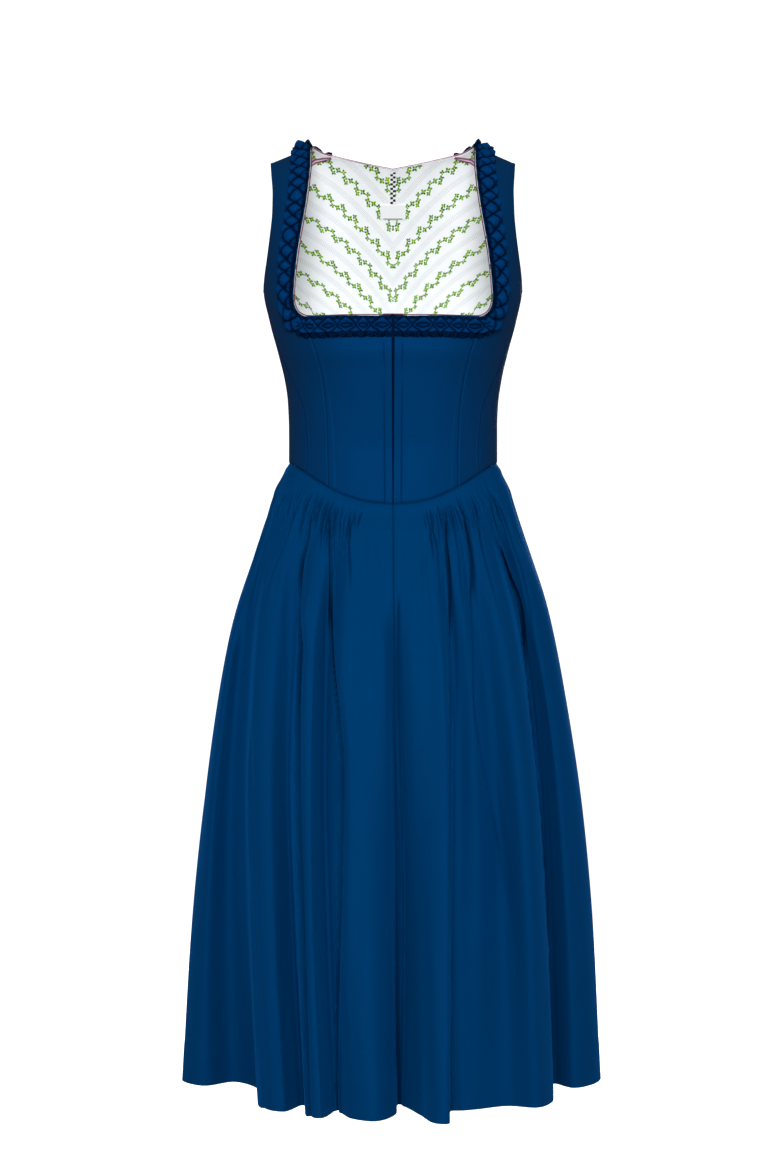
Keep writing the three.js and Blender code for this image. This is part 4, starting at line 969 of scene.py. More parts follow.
# ---------- ruched trim ----------
class Ruche:
    """The band that lies along the front neckline and over the shoulder, in chart places and a height field."""

    WIDTH = 22.5
    PUFFS_TO = 21.0  # width of the puffs
    KNOTS = 4.0  # width of the flange beyond the puffs on the lower edge, where the knots lie
    FLOOR = 1.2
    LOW_END = 118.0  # length of the band's part along the lower edge, where the puffs are broader
    CORNER = 110.0  # where the band turns upwards, and the puffs stand closer at the neck edge

    def __init__(self, pitch, puff, along_per_puff, across):
        edge = joined(neck_part(0, NECK_CORNER, DENSE), neck_part(NECK_CORNER, NECK_SEAM, DENSE))
        edge = edge[point_at(edge)[:, 0] > SLIT_TOP]
        total = path_lengths(point_at(edge))[-1]
        fine = np.linspace(0, total, 2001)
        broader = 0.2 * (1 - ease(fine, self.LOW_END - 25, self.LOW_END)) - 0.3 * bell(fine - self.CORNER, 16)
        turn = np.cumsum(1 / (pitch * (1 + broader)))
        turn = (turn - turn[0]) * (fine[1] - fine[0])
        self.puffs = round(turn[-1])
        turn *= self.puffs / turn[-1]
        steps = self.puffs * along_per_puff
        self.turn = np.linspace(0, self.puffs, steps + 1)
        where = np.interp(self.turn, turn, fine)
        even = even_places(edge, 2000)
        self.path = np.stack([np.interp(where, fine, even[:, k]) for k in (0, 1)], -1)
        self.low_turn = np.interp(self.LOW_END - 12, fine, turn)
        self.across = np.linspace(0, 1, across + 1)
        self.puff = puff
        ahead = np.concatenate((self.path[1:], self.path[-1:]))
        behind = np.concatenate((self.path[:1], self.path[:-1]))
        normal = form_normal(self.path[:, 0], self.path[:, 1])
        self.outwards = unit(np.cross(point_at(ahead) - point_at(behind), normal))
        # Where the band turns over the shoulder it stands up higher.
        self.crown = bell(self.turn - np.interp(0, self.path[:, 1], self.turn), 0.75)

    def spread(self, distances):
        """Chart places at distances outwards from the path, by short steps over the form."""
        places, here, gone = [], self.path.copy(), np.zeros(len(self.path))
        small = 1e-3
        for k in range(distances.shape[1]):
            step = (distances[:, k] - gone)[:, None]
            origin = on_form(here[:, 0], here[:, 1])
            by_psi = (origin - on_form(np.maximum(here[:, 0] - small, 0), here[:, 1])) / small
            by_rise = (on_form(here[:, 0], here[:, 1] + small) - origin) / small
            a, b, d = ((u * v).sum(1) for u, v in ((by_psi, by_psi), (by_psi, by_rise), (by_rise, by_rise)))
            e, f = (by_psi * self.outwards).sum(1), (by_rise * self.outwards).sum(1)
            move = np.stack((d * e - b * f, a * f - b * e), -1) / (a * d - b * b)[:, None]
            here = here + move * step
            gone = distances[:, k]
            places.append(here)
        return np.stack(places, 1)

    def lattice(self, seed):
        """Height of the puffs, and the shade painted along their pinched lines. On the straps pinched lines cross
        the band in an X at each pitch, with a plump field between them. On the lower edge they draw up wide-topped
        fans with a lens between each."""
        rng = np.random.default_rng(seed)
        t = self.turn[:, None]
        low = 1 - ease(t, self.low_turn - 0.15, self.low_turn + 0.15)
        reach = self.across[None] * self.WIDTH / (self.PUFFS_TO - self.KNOTS * low)
        w = np.minimum(reach, 1)
        on_puffs = 1 - ease(reach, 0.97, 1.05)
        t = t + 0.07 * np.sin(1.7 * t + seed) + 0.05 * np.sin(4.1 * t + 2 * seed)
        a, b = t + w - 0.5, t - w + 0.5
        fa, fb = a - np.floor(a), b - np.floor(b)
        ia, ib = (np.clip(np.floor(v).astype(int) + 1, 0, self.puffs + 3) for v in (a, b))
        size = rng.uniform(0.78, 1.14, (self.puffs + 4, self.puffs + 4))[ia, ib]
        dome = (np.sin(np.pi * fa) * np.sin(np.pi * fb)) ** 0.34
        to_line = np.minimum(np.minimum(fa, 1 - fa), np.minimum(fb, 1 - fb))
        # Small pleats spread out from the crossings, and a tucked line runs from each to the neck edge.
        near = np.exp(-((fa**2 + fb**2) / 0.35))
        far = np.exp(-(((1 - fa) ** 2 + (1 - fb) ** 2) / 0.35))
        pleats = (
            np.cos(9 * np.arctan2(fa + 1e-3, fb + 1e-3)) * near
            + np.cos(9 * np.arctan2(1.001 - fa, 1.001 - fb)) * far
        )
        lean = 1 + 0.2 * (fa - fb) * np.where(ia == ib, 1, -1)
        off = np.abs(t - np.round(t))
        tuck = bell(off, 0.05) * (w < 0.42) * 0.6
        # A short fold runs from each crossing into the field after it.
        stem = bell(w - 0.5 - 0.12 * off, 0.035) * (t % 1 < 0.36) * (0.5 + 0.3 * np.sin(3 * t + seed))
        strap_height = self.puff * dome * size * lean + 0.4 * pleats * dome - 1.9 * tuck - 1.4 * stem
        # Painted shade along the pinched lines, the tucks and the short folds.
        strap_painted_shade = bell(to_line, 0.115) + 0.8 * tuck + 0.7 * stem
        # The lower edge: sides and top of each fan, both lips of each lens, and the pleats down to the knots.
        between = 0.5 - off
        lens = np.clip(1 - (between / 0.34) ** 2, 0, 1)
        lines = (
            (off - 0.37 * np.clip((0.62 - w) / 0.5, 0, 1) ** 1.3, (w > 0.08) & (w < 0.64)),
            (w - 0.17 + 0.035 * np.cos(np.pi * off / 0.185), off < 0.38),
            (w - 0.58 + 0.1 * lens, between < 0.34),
            (w - 0.6 - 0.13 * lens, between < 0.34),
            (off - 0.34 * np.clip((w - 0.62) / 0.38, 0, 1), w > 0.62),
        )
        # Each line is drawn wide into the height, and narrow as painted shade.
        drawn, painted_line_shade = (
            np.max([bell(gap, width) * there for gap, there in lines], axis=0) for width in (0.12, 0.065)
        )
        low_height = self.puff * (0.86 + 0.14 * np.sin(5 * t + seed)) * (1 - 0.85 * drawn)
        height = strap_height + (low_height - strap_height) * low
        painted_shade = strap_painted_shade + (painted_line_shade - strap_painted_shade) * low
        height *= 0.75 + 0.25 * np.sin(np.pi * w) ** 0.5
        height = np.maximum(height * on_puffs, 0.15) * (1 + 0.95 * self.crown[:, None])
        # Painted shade: the flange beyond the puffs, where the knots lie, is painted dark too.
        return height, np.clip(painted_shade + 0.9 * (1 - on_puffs), 0, 1)


def ruche_loops(ruche, seed, mirror):
    """Small folded loops along the outer edge, as rings of cloth lying on the bodice. Along the lower edge they
    are drawn up into round knots."""
    rng = np.random.default_rng(seed + 50)
    points, faces, cloth = [], [], []
    around, tube_sides = 14, 9
    distances = np.broadcast_to(np.linspace(0, ruche.WIDTH - 2.2, 12), (len(ruche.path), 12))
    outer_places = ruche.spread(distances)[:, -1]
    base, normal = laid(outer_places)
    start = 0
    knots = np.arange(0.25, ruche.low_turn + 0.4, 0.5)
    for t in (*knots, *np.arange(math.ceil(knots[-1]) + 0.5, ruche.puffs - 0.2, 1)):
        strap = float(ease(t, ruche.low_turn - 0.6, ruche.low_turn + 0.6))
        i = np.interp(t + rng.uniform(-0.06, 0.06), ruche.turn, np.arange(len(ruche.turn)))
        i = int(np.clip(i, 1, len(base) - 2))
        along = unit(base[i + 1] - base[i - 1])
        out = np.cross(along, normal[i])
        long, wide = rng.uniform(2.0, 2.5) + 0.4 * strap, rng.uniform(1.6, 2.0) - 0.4 * strap
        thick = rng.uniform(1.1, 1.35)
        if ruche.crown[i] > 0.4:
            continue
        lift = rng.uniform(2.4, 3.2)
        tilt = rng.uniform(-0.5, 0.5)
        centre = base[i] + normal[i] * lift + out * rng.uniform(-0.5, 0.5)
        u = np.linspace(0, 2 * np.pi, around, endpoint=False)[:, None]
        v = np.linspace(0, 2 * np.pi, tube_sides, endpoint=False)[None]
        squeeze = 1 + 0.18 * np.cos(2 * u + tilt * 3)
        x = (long + thick * np.cos(v)) * np.cos(u + tilt)
        y = (wide + thick * np.cos(v)) * np.sin(u + tilt) * squeeze
        z = thick * 1.15 * np.sin(v) - 0.5 * np.sin(u)
        ring = centre + x[..., None] * along + y[..., None] * out + z[..., None] * normal[i]
        a = start + np.arange(around * tube_sides).reshape(around, tube_sides)
        b = np.roll(a, -1, 0)
        faces.append(np.stack((a, b, np.roll(b, -1, 1), np.roll(a, -1, 1)), -1).reshape(-1, 4))
        points.append(ring.reshape(-1, 3))
        # Painted shade: each loop is painted dark all round, a little less over its top, for the shade in its eye
        # and where it sits on the bodice.
        shade = np.clip(1.05 - 0.3 * np.maximum(0, np.sin(v - 0.25)), 0, 1) + 0 * u
        cloth.append(np.stack((x * 1.5, y * 1.5, shade), -1).reshape(-1, 3))
        start += around * tube_sides
    points = np.concatenate(points)
    points[:, 0] *= mirror
    faces = np.concatenate(faces)
    return points, faces if mirror > 0 else faces[:, ::-1], np.concatenate(cloth)


class DIRNDL_OT_ruching(bpy.types.Operator):
    """Make the two halves of the ruched trim round the front neckline"""

    bl_idname = "dirndl.ruching"
    bl_label = "Ruched trim"

    def execute(self, context):
        sizes = settings("sizes")
        cotton = woven_cotton(
            "ruched cotton, bias cut", settings("colours").trim,
            thread_mm=1.1, relief_mm=0.1, mottle=0.12, sheen=0.1,
        )
        ruche = Ruche(sizes.puff_pitch / MM, sizes.puff_height / MM, 28, 40)
        turn = ruche.turn[:, None]
        on_strap = ease(turn, ruche.low_turn - 0.5, ruche.low_turn + 0.5)
        scallop = 0.9 * np.cos(4 * np.pi * turn) * (1 - on_strap) + 1.4 * np.cos(2 * np.pi * turn) * on_strap
        share = ruche.across[None]
        distances = (0.3 - 0.5 * scallop) * (1 - share) + (ruche.WIDTH + scallop) * share
        places = ruche.spread(distances)
        base, normal = laid(places)
        for mirror, hand, seed in ((-1, "left", 3), (1, "right", 8)):
            height, painted_shade = ruche.lattice(seed)
            height += ruche.FLOOR
            round_over = np.minimum(share, 1 - share)
            rounded = np.sqrt(np.clip(1 - (1 - round_over / 0.07).clip(0) ** 2, 0, 1))
            height = height * (0.3 + 0.7 * rounded)
            # Painted shade along both edges of the band.
            painted_shade = np.clip(painted_shade + bell(round_over, 0.075), 0, 1)
            height *= 0.3 + 0.7 * ease(turn, 0, 0.12)
            outer = (base + normal * height[..., None]) * (mirror, 1, 1)
            inner = (base + normal * SEAM_GAP) * (mirror, 1, 1)
            points, faces = wall_shape(outer, inner)
            along = np.broadcast_to(turn * ruche.WIDTH, outer.shape[:2])
            flat = np.stack((along, share * ruche.WIDTH + 0 * along, painted_shade), -1).reshape(-1, 3)
            loops, loop_faces, loop_cloth = ruche_loops(ruche, seed, mirror)
            both, all_faces = np.concatenate((flat, flat, loop_cloth)), [*faces, *(loop_faces + len(points))]
            points = np.concatenate((points, loops))
            obj = make_piece(f"ruche_{hand}_cloth", points, all_faces, cotton, both, sharp=75)
            finish_piece(obj)
        return {"FINISHED"}


# ---------- piping ----------
PIPING_SHOWN = 0.55  # the covered cord's own radius; the seam it sits in takes up the rest of the CAD rod
EYE_DEPTH, EYE_APART = 0.9, 2.1  # how far inside the lining the eye's three cords lie, and their spacing


def tube(centre, normal, away, radius, sides):
    turn = np.linspace(0, 2 * np.pi, sides, endpoint=False)[None, :, None]
    return centre[:, None] + radius * (np.cos(turn) * normal[:, None] + np.sin(turn) * away[:, None])


class DIRNDL_OT_piping(bpy.types.Operator):
    """Make the satin piping of the neck edge and of the shoulder seams inside"""

    bl_idname = "dirndl.piping"
    bl_label = "Neck piping"

    def execute(self, context):
        # The second colour is the redder tone of the painted streaks.
        satin = satin_binding("satin bias piping", settings("colours").piping, linear(0x82163C))
        sides = 12
        half = neck_part(0, len(NECKLINE) - 1, 520)
        half = half[point_at(half)[:, 0] >= SLIT_TOP]
        half = np.concatenate((half, neck_part(len(NECKLINE) - 1.001, len(NECKLINE) - 1, 1)[-1:]))
        depth = (LINING_DEPTH + LINING_WALL) / 2
        centre = point_at(half, depth)
        normal = form_normal(half[:, 0], half[:, 1])
        away = unit(np.cross(normal, np.gradient(centre, axis=0)))
        away[-1, 0] = 0
        centre = centre + away * (PIPING_RADIUS + SEAM_GAP)
        centre[-1, 0] = 0
        rope = PIPING_SHOWN * (1 + 0.05 * np.sin(np.arange(len(centre)) * 1.9))
        half_rings = tube(centre, normal, away, rope[:, None, None], sides)
        rings = np.concatenate((half_rings * (-1, 1, 1), half_rings[-2::-1]))
        # The piping faces outwards with its paler side round the back.
        at_back = 0.45 * ease(half[:, 1], -0.05, 0.1)
        at_back = np.concatenate((at_back, at_back[-2::-1]))[:, None]
        chunks = [(rings, path_lengths(rings[:, 0]), at_back)]
        # The lining's shoulder seams open in a narrow eye, with the same piping round it.
        seam = shoulder_seam(np.linspace(0.01, 0.62, 40))
        line = point_at(seam, LINING_DEPTH + LINING_WALL + EYE_DEPTH)
        seam_normal = form_normal(seam[:, 0], seam[:, 1])
        seam_away = unit(np.cross(seam_normal, np.gradient(line, axis=0)))
        bulge = np.sin(np.pi * np.linspace(0.04, 1, 40) ** 0.8)[:, None]
        # A pale cord lies open in the eye, and one dark lip of even width on each side of it.
        inner_cord, lip = 0.35 + 1.1 * bulge, 0.9 + 0 * bulge
        for apart, radius, pale in ((0, inner_cord, 0.85), (EYE_APART, lip, 0.06), (-EYE_APART, lip, 0.06)):
            middle = line + seam_away * apart * bulge
            for mirror in (-1, 1):
                ring = tube(middle, seam_normal, seam_away, radius[..., None], sides) * (mirror, 1, 1)
                chunks.append((ring, path_lengths(ring[:, 0]), pale))
        points, faces, cloth, start = [], [], [], 0
        for ring, along, pale in chunks:
            points.append(ring.reshape(-1, 3))
            a, b = ring[0, 0] - ring[0].mean(0), ring[0, 1] - ring[0].mean(0)
            flip = np.dot(np.cross(b, ring[1].mean(0) - ring[0].mean(0)), a) > 0
            faces += grid_faces(len(ring), sides, start, flip, closed=True).tolist()
            first, end = list(range(start, start + sides)), start + len(points[-1])
            last = list(range(end - sides, end))
            faces += [first if flip else first[::-1], last[::-1] if flip else last]
            turn = np.arange(sides) * (2 * np.pi * PIPING_RADIUS / sides)
            cloth.append(np.stack(np.broadcast_arrays(along[:, None], turn[None], pale), -1).reshape(-1, 3))
            start = end
        obj = make_piece("neck_piping_cord", np.concatenate(points), faces, satin, np.concatenate(cloth))
        finish_piece(obj)
        return {"FINISHED"}


# ---------- skirt ----------
skirt_side, skirt_front, skirt_back = (column(SKIRT_OUTLINE[:, 0], SKIRT_OUTLINE[:, k]) for k in (1, 2, 3))


def outline_depth(share, side, down):
    square = WAIST_SQUARE + (SKIRT_SQUARE - WAIST_SQUARE) * down
    reach = np.where(side < 0, WAIST_FRONT + skirt_front(down), WAIST_BACK + skirt_back(down))
    return reach * (1 - np.minimum(np.abs(share), 1) ** square) ** (1 / square)


def fold_points(down):
    """Where each fold's line stands at a share of the way down."""
    waist, side, x, y, start, mid = FOLDS.T
    hem_half = WAIST_HALF + skirt_side(1)
    hem_share = np.clip(x / hem_half, -1, 1)
    share = waist + (hem_share - waist) * down**DRIFT
    off = side * y - outline_depth(hem_share, side, 1)
    grown = np.clip((down - start) / (1 - start), 0, 1) ** 0.9
    depth = outline_depth(share, side, down) + off * grown - mid * np.sin(np.pi * down)
    return np.stack(((WAIST_HALF + skirt_side(down)) * share, side * depth, 0 * share), -1)


def waist_ring():
    psi = place(np.abs(FOLDS[:, 0]) * WAIST_HALF, FORM_DROP, FOLDS[:, 1])[:, 0]
    return np.stack((np.sign(FOLDS[:, 0]) * np.cos(psi), FOLDS[:, 1] * np.sin(psi), 0 * psi), -1)


waist_turn = spline(waist_ring(), True)


def waist_seam(u):
    turn = unit(waist_turn(u))
    psi = np.arccos(np.clip(np.abs(turn[:, 0]), 0, 1))
    side = np.where(turn[:, 1] < 0, -1, 1)
    drop = waist_drop(psi, side)
    p = on_form(psi, side * rise_of(drop))
    return np.stack((np.sign(turn[:, 0]) * p[:, 0], p[:, 1], -drop - WAIST_GAP), -1)


def skirt_points(u, downs):
    top = waist_seam(u)
    rows = []
    for down in downs:
        p = spline(fold_points(down), True)(u)
        p[:, 2] = top[:, 2]
        p += (top - p) * (1 - ease(down, 0, JOIN_END))
        p[:, 2] = top[:, 2] + (-HEM_DROP - top[:, 2]) * down
        rows.append(p)
    return np.array(rows)


def grid_normals(points):
    return unit(np.cross(np.gradient(points, axis=0), np.gradient(points, axis=1)))


# Gathers and creases of the front, charted one by one: depth, width, then (share of the way down, fold number)
# along the line.
CREASES = [
    (2.2, 2.2, (0.043, 3.76), (0.14, 2.47), (0.203, 2.13), (0.247, 2.2)),
    (1.2, 1.5, (0.037, 5.09), (0.115, 4.6), (0.19, 4.13), (0.233, 4.15)),
    (1.9, 4.5, (0.037, 5.34), (0.085, 5.26), (0.133, 5.24), (0.198, 5.45), (0.28, 5.7)),
    (4.4, 2.2, (0.045, 5.98), (0.09, 6.18), (0.135, 6.02), (0.19, 6.25), (0.273, 6.77), (0.505, 6.98),
     (0.738, 7.18), (0.965, 7.0)),
    (1.1, 1.4, (0.03, 7.03), (0.058, 7.17), (0.088, 7.54)),
    (1.1, 1.4, (0.03, 7.32), (0.068, 7.85), (0.095, 8.02)),
    (4.4, 2.0, (0.028, 7.69), (0.055, 7.99), (0.107, 8.53), (0.175, 8.94), (0.26, 9.33), (0.453, 9.95),
     (0.735, 9.64), (0.975, 9.03)),
    (1.1, 1.4, (0.026, 8.1), (0.043, 8.47), (0.077, 8.49)),
    (1.7, 1.5, (0.02, 9.57), (0.05, 9.88), (0.08, 9.95), (0.098, 10.04), (0.15, 10.2)),
    (1.0, 1.3, (0.02, 10.05), (0.048, 10.19)),
    (1.7, 6.5, (0.03, 10.42), (0.045, 10.77), (0.088, 11.25), (0.118, 11.53), (0.168, 11.8), (0.223, 12.25),
     (0.26, 12.44)),
    (1.9, 1.6, (0.15, 13.35), (0.2, 13.28), (0.27, 13.18), (0.575, 13.34), (0.983, 13.04)),
    (1.5, 6.0, (0.062, 13.14), (0.09, 13.59), (0.118, 14.22), (0.155, 14.61), (0.185, 14.66)),
    (1.4, 3.5, (0.058, 15.45), (0.105, 15.17), (0.15, 15.16), (0.225, 15.06)),
    (1.4, 1.8, (0.02, 16.25), (0.048, 16.11), (0.08, 16.41), (0.115, 16.41), (0.145, 16.34)),
    (1.0, 1.4, (0.02, 17.02), (0.037, 17.08), (0.058, 17.15)),
    (3.4, 2.0, (0.02, 18.01), (0.055, 17.51), (0.088, 17.32), (0.143, 17.21), (0.258, 16.72), (0.49, 16.19),
     (0.73, 16.31), (0.973, 17.12)),
    (1.8, 1.7, (0.024, 18.43), (0.06, 18.36), (0.1, 18.38), (0.143, 18.21), (0.175, 18.11)),
    (2.6, 2.2, (0.023, 19.36), (0.055, 19.38), (0.095, 19.35), (0.135, 19.19), (0.185, 18.73), (0.263, 18.42),
     (0.34, 18.24), (0.588, 19.02), (0.748, 19.41)),
    (1.6, 1.8, (0.03, 20.36), (0.075, 20.24), (0.11, 20.1), (0.143, 20.14), (0.185, 20.21), (0.215, 20.17)),
    (4.6, 2.3, (0.033, 21.28), (0.062, 21.45), (0.095, 21.51), (0.133, 21.96), (0.17, 22.11), (0.205, 22.27),
     (0.25, 22.12), (0.288, 21.93), (0.35, 21.75), (0.568, 21.42), (0.917, 21.3), (0.975, 21.3)),
    (1.6, 2.0, (0.043, 22.83), (0.085, 23.1), (0.125, 23.14), (0.165, 23.24), (0.21, 23.04), (0.268, 22.7)),
    (2.0, 3.0, (0.417, 3.81), (0.647, 4.02), (0.958, 4.06)),
]
# Short fine gathers between them, right under the waist seam: from one fold number to another.
FINE_GATHERS = ((3.4, 10.6), (15.6, 22.6))


def uneven_gathers():
    """Gathers drawn at random, as (depth, width, start, end): short fine ones under the front's waist seam, and
    full ones round the sides and back."""
    rng = np.random.default_rng(21)
    rows = []
    for first, last in FINE_GATHERS:
        u = first
        while u < last:
            long = rng.uniform(0.03, 0.09)
            lean = rng.uniform(-0.2, 0.2)
            start = rng.uniform(0.012, 0.024)
            rows.append((rng.uniform(0.6, 1.7), rng.uniform(0.75, 1.15), (start, u), (start + long, u + lean)))
            u += rng.uniform(0.2, 0.44)
    u = RIGHT_SEAM_FOLD - 1.2
    while u < len(FOLDS) + 1.6:
        long = rng.choice((0.05, 0.08, 0.12, 0.17, 0.23), p=(0.25, 0.3, 0.2, 0.15, 0.1))
        lean = rng.uniform(-0.25, 0.25)
        start = rng.uniform(0.008, 0.018)
        rows.append((rng.uniform(0.9, 2.4), rng.uniform(1.4, 2.4), (start, u), (long, u + lean * long * 6)))
        u += rng.uniform(0.28, 0.62)
    return rows


def crease_relief(u, downs, width_per_u, rows, unit_depth):
    """Height of the creases on a skirt panel's grid, and the shade painted along the narrow ones. A crease has
    soft lips, and a long one lies like the edge of a fold: steep on its left side and running out slowly on its
    right."""
    total, shade = np.zeros(width_per_u.shape), np.zeros(width_per_u.shape)
    down = downs[:, None]
    for depth, wide, *line in rows:
        ds, us = np.array(line, float).T
        centre = column(ds, us)(downs)[:, None] if len(ds) > 2 else np.interp(downs, ds, us)[:, None]
        long = ds[-1] - ds[0]
        show = ease(down, ds[0] - 0.006, ds[0] + min(0.03, 0.4 * long) + 0.02 * (wide > 3))
        if ds[-1] < 0.9:
            show = show * (1 - ease(down, ds[-1] - 0.5 * long, ds[-1] + 0.2 * long))
        turn = (u[None] - centre + len(FOLDS) / 2) % len(FOLDS) - len(FOLDS) / 2
        lean = ease(down, 0.12, 0.3) * (long > 0.3)
        off = turn * width_per_u / (wide * (0.7 + 0.5 * ease(down, ds[0], ds[0] + 0.15)))
        # Painted shade along the narrow creases, lighter further down.
        dark = np.clip(depth / (2.6 + 1.6 * ease(down, 0.05, 0.16)), 0, 0.92)
        dark = dark * (1 - 0.45 * ease(down, 0.25, 0.5))
        shade = np.maximum(shade, show * dark * bell(1.15 * off) * (wide < 3))
        off = off * np.where(off < 0, 1 + 0.5 * lean, 1 / (1 + 2.2 * lean))
        groove = 0.35 * bell(np.abs(off) - 1.9) - bell(off)
        deep = np.minimum(depth * (1.9 - 0.9 * ease(down, 0.05, 0.2)), 3.6 + 9 * down) if wide < 3 else depth
        total += deep * unit_depth * show * groove
    return total, shade


def base_gathers(u, downs, start_points):
    """The broader gathers that the CAD skirt has too, one for each row of the fold table."""
    on_front = start_points[:, 1] < 0
    room = np.where(on_front, 0.35 * ease(np.abs(start_points[:, 0]), 34, 58), 1)
    down = downs[:, None]
    rise = 0.2 + 1.1 * ease(down, 0, 0.045)
    fade = 1 - ease(down, 0.045, 0.2)
    return room * rise * fade * (0.7 + 0.3 * np.sin(1.7 * u + 0.6)) * np.sin(2 * np.pi * u)


GATHERED = 0.2  # share of the way down where the rows stand closer, for the gathers
# Slow waves of the hanging cloth: per fold, per share of the way down, phase, height.
SWAYS = [(0.9, 5.2, 0.3, 0.9), (1.7, -8.3, 2.2, 0.6), (2.6, 12.7, 4.0, 0.35), (4.3, -17.0, 1.1, 0.2)]


def skirt_panel(node, first, last, per_fold, material):
    """A skirt piece between two seams of the fold table, with its folds, gathers, creases and stitched hem."""
    # Two more columns beyond each seam, so that neighbouring panels have the same normals along it.
    count = round((last - first) * per_fold)
    u = first + (last - first) * np.arange(-2, count + 3) / count
    downs = np.concatenate((np.linspace(0, GATHERED, 50), np.linspace(GATHERED, 1, 72)[1:]))
    base = skirt_points(u, downs)
    normal = grid_normals(base)
    middle = len(downs) // 2, len(u) // 2
    outwards = np.sign(np.dot(normal[middle], base[middle] * (1, 1, 0)))
    normal *= outwards
    spread_per_u = np.linalg.norm(np.gradient(base, axis=1), axis=2) / (u[1] - u[0])
    left, _, low, high = border_distances(base)
    from_left, from_right = np.abs(left - left[:, 2:3]), np.abs(left - left[:, -3:-2])
    down = downs[:, None]
    hem = settings("sizes").hem_depth / MM
    sway = sum(h * np.sin(a * u[None] + b * down + c) for a, b, c, h in SWAYS) * ease(down, 0.08, 0.4)
    unit_depth = settings("sizes").gather_depth / MM
    creases, shade = crease_relief(u, downs, spread_per_u, CREASES + uneven_gathers(), unit_depth)
    seams = seam_dip(from_left) + seam_dip(from_right) + seam_dip(low)
    # Drawn into the seam, the gathered cloth stands off right below it.
    stand_off = 1.6 * ease(down, 0.002, 0.014) * (1 - ease(down, 0.03, 0.1))
    room = np.where(base[:1, :, 1] < 0, ease(np.abs(base[:1, :, 0]), 40, 85), 1)
    hips = 2.4 * ease(np.abs(base[:1, :, 0]), 95, 116) * ease(down, 0, 0.008) * (1 - ease(down, 0.02, 0.055))
    height = (
        base_gathers(u[None], downs, base[0])
        + creases
        + stand_off * room
        + hips
        + 0.8 * sway
        + 0.8 * seam_dip(from_left) + 0.8 * seam_dip(from_right)
        + 0.35 * (1 - ease(high, hem - 1.2, hem + 1.2)) - 0.45 * bell(high - hem, 1.3)
        - 0.5 * (1 - ease(low, 0, 1.4))
    )
    outer = base + normal * height[..., None]
    inner = outer - grid_normals(outer) * outwards * SKIRT_WALL
    outer[0, :, 2] += SKIRT_LAP
    inner[0, :, 2] += SKIRT_LAP
    # The third number is painted shade along the narrow creases and in the grooves of the seams.
    cloth = np.stack((left, -low, np.clip(shade + 0.7 * painted_groove_shade(seams), 0, 1)), -1)
    outer, inner, cloth = (a[:, 2:-2] for a in (outer, inner, cloth))
    wall_piece(node, outer, inner, cloth, material)


class DIRNDL_OT_skirt(bpy.types.Operator):
    """Make the three skirt pieces, gathered to the waist seam and falling in deep uneven folds"""

    bl_idname = "dirndl.skirt"
    bl_label = "Skirt"

    def execute(self, context):
        cotton = woven_cotton(
            "brushed cotton, woven and dyed", settings("colours").skirt,
            thread_mm=1.3, relief_mm=0.06, mottle=0.08, sheen=0.36,
        )
        # The front, which shows, is finer than the back.
        for node, first, last, per_fold, sheet in (
            ("skirt_front_left", LEFT_SEAM_FOLD, FRONT_SEAM_FOLD, 20, "skirt_front"),
            ("skirt_front_right", FRONT_SEAM_FOLD, RIGHT_SEAM_FOLD, 20, "skirt_front"),
            ("skirt_back", RIGHT_SEAM_FOLD, len(FOLDS), 13, "skirt_back"),
        ):
            skirt_panel(node, first, last, per_fold, cotton)
        return {"FINISHED"}


# ---------- stage ----------
FLOOR_Z = -1.36
CAMERA = (-0.00226, -3.1, -0.499)
LENS = 84.05
PAPER_FLAT, PAPER_BEND = 5.5, 1.5  # radius of the sweep's flat floor, and of its turn upwards


def soft_light(name, place_at, aim, size, power):
    light = bpy.data.lights.new(name, "AREA")
    light.shape, light.size, light.energy = "DISK", size, power
    obj = bpy.data.objects.new(name, light)
    obj.visible_camera = False
    obj.location = place_at
    x, y, z = np.array(aim) - np.array(place_at)
    obj.rotation_euler = (RIGHT_ANGLE + math.atan2(z, math.hypot(x, y)), 0, math.atan2(-x, y))
    bpy.context.scene.collection.objects.link(obj)


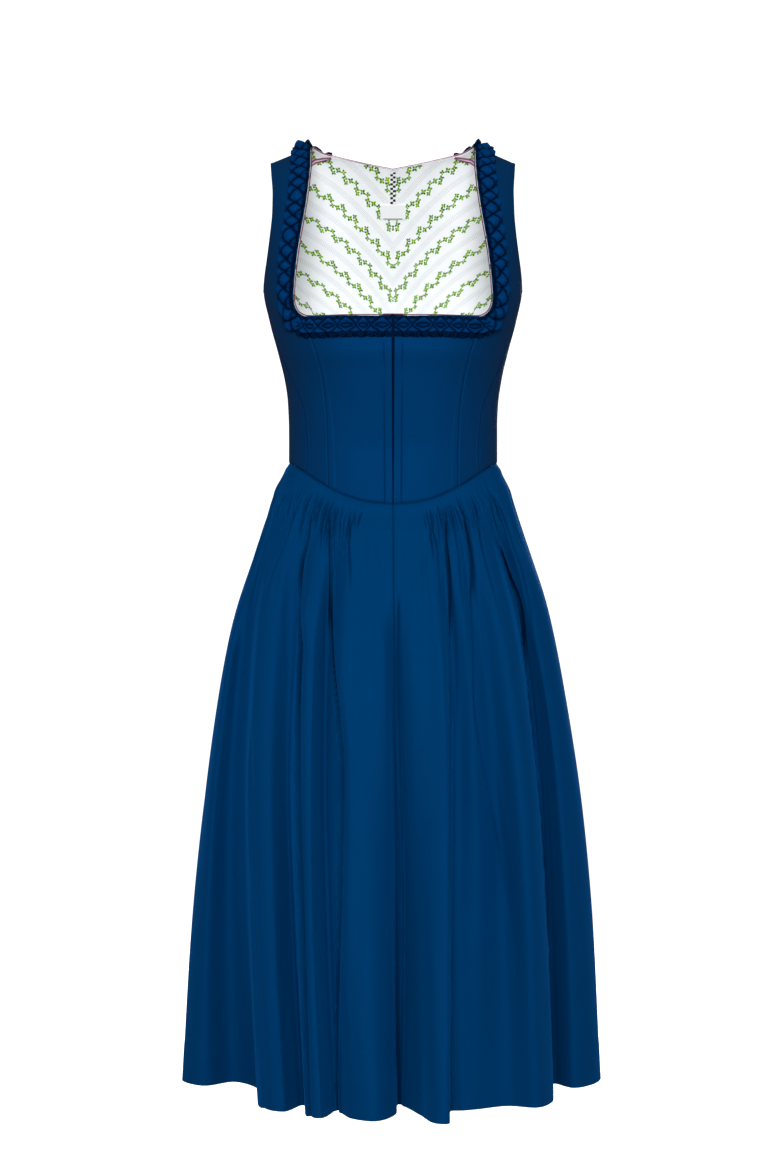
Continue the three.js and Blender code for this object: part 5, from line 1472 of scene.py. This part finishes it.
class DIRNDL_OT_stage(bpy.types.Operator):
    """Make the pale floor with its round sweep, the soft lights and the camera"""

    bl_idname = "dirndl.stage"
    bl_label = "Stage"

    def execute(self, context):
        stage = settings("stage")
        scene = context.scene
        # A round paper sweep, lit so evenly that it shows no shade: its profile as (radius, height).
        profile = [(0.01, 0.0), (2.0, 0.0), (PAPER_FLAT, 0.0)]
        for a in np.linspace(0.2, RIGHT_ANGLE, 8):
            profile.append((PAPER_FLAT + PAPER_BEND * math.sin(a), PAPER_BEND - PAPER_BEND * math.cos(a)))
        profile.append((PAPER_FLAT + PAPER_BEND, 7.0))
        around = 64
        turn = np.linspace(0, 2 * np.pi, around, endpoint=False)
        rings = np.array([np.stack((r * np.cos(turn), r * np.sin(turn), 0 * turn + z), -1) for r, z in profile])
        paper, tree, shader = new_material("white studio paper")
        grain = add(tree, "TexNoise", {"Scale": 3.0, "Detail": 2}).outputs[0]
        tint = add(tree, "MixRGB", {0: grain, 1: linear(0xFFFFFF), 2: linear(0xFDFDFD)})
        tree.links.new(tint.outputs[0], shader.inputs["Base Color"])
        tree.links.new(tint.outputs[0], shader.inputs["Emission Color"])
        shader.inputs["Emission Strength"].default_value = 1.0
        shader.inputs["Roughness"].default_value = 1.0
        faces = [list(range(around)), *grid_faces(len(profile), around, closed=True)]
        sweep = make_piece("paper_sweep", (rings.reshape(-1, 3) + (0, 0, FLOOR_Z)) / MM, faces, paper)
        sweep.visible_diffuse = sweep.visible_glossy = sweep.visible_shadow = False
        world = bpy.data.worlds.new("room light")
        world.use_nodes = True
        background = world.node_tree.nodes["Background"]
        background.inputs[0].default_value = linear(0xFFFFFF)
        background.inputs[1].default_value = stage.ambient
        scene.world = world
        soft_light("key_light", (-0.05, -3.5, 0.7), (0, 0, -0.5), 1.5, stage.key_power)
        for side in (-1, 1):
            beside = side * 1.0, -0.8, -0.82
            soft_light(f"strip_light_{side}", beside, (side * 0.15, 0, -0.75), 0.5, stage.side_power)
        soft_light("top_light", (0, -2.4, 1.7), (0, 0, -0.1), 1.2, stage.top_power)
        soft_light("back_light", (0.5, 3.6, 0.5), (0, 0, -0.5), 1.5, stage.back_power)
        camera = bpy.data.cameras.new("studio camera")
        camera.lens, camera.sensor_width = LENS, 36
        camera_object = bpy.data.objects.new("studio camera", camera)
        camera_object.location = CAMERA
        camera_object.rotation_euler = (RIGHT_ANGLE, 0, 0)
        scene.collection.objects.link(camera_object)
        scene.camera = camera_object
        scene.view_settings.view_transform = "Standard"
        scene.cycles.use_denoising = True
        return {"FINISHED"}


class DIRNDL_PT_panel(bpy.types.Panel):
    """Lists the steps that make the dress"""

    bl_idname = "DIRNDL_PT_panel"
    bl_label = "Dirndl"
    bl_space_type = "VIEW_3D"
    bl_region_type = "UI"
    bl_category = "Dirndl"

    def draw(self, context):
        for operator in OPERATORS:
            self.layout.operator(operator.bl_idname)
        for name, group in GROUPS.items():
            box = self.layout.box()
            for key in group.__annotations__:
                box.prop(settings(name), key)


GROUPS = {"colours": DirndlColours, "sizes": DirndlSizes, "stage": DirndlStage}
OPERATORS = (
    DIRNDL_OT_stage, DIRNDL_OT_bodice, DIRNDL_OT_lining, DIRNDL_OT_tapes, DIRNDL_OT_ruching, DIRNDL_OT_piping,
    DIRNDL_OT_skirt,
)


def register():
    for cls in (*GROUPS.values(), *OPERATORS, DIRNDL_PT_panel):
        bpy.utils.register_class(cls)
    for name, group in GROUPS.items():
        setattr(bpy.types.Scene, "dirndl_" + name, bpy.props.PointerProperty(type=group))


def unregister():
    for name in GROUPS:
        delattr(bpy.types.Scene, "dirndl_" + name)
    for cls in (DIRNDL_PT_panel, *reversed(OPERATORS), *reversed(GROUPS.values())):
        bpy.utils.unregister_class(cls)


def main():
    register()
    for operator in OPERATORS:
        group, name = operator.bl_idname.split(".")
        getattr(getattr(bpy.ops, group), name)()


if __name__ == "__main__":
    main()
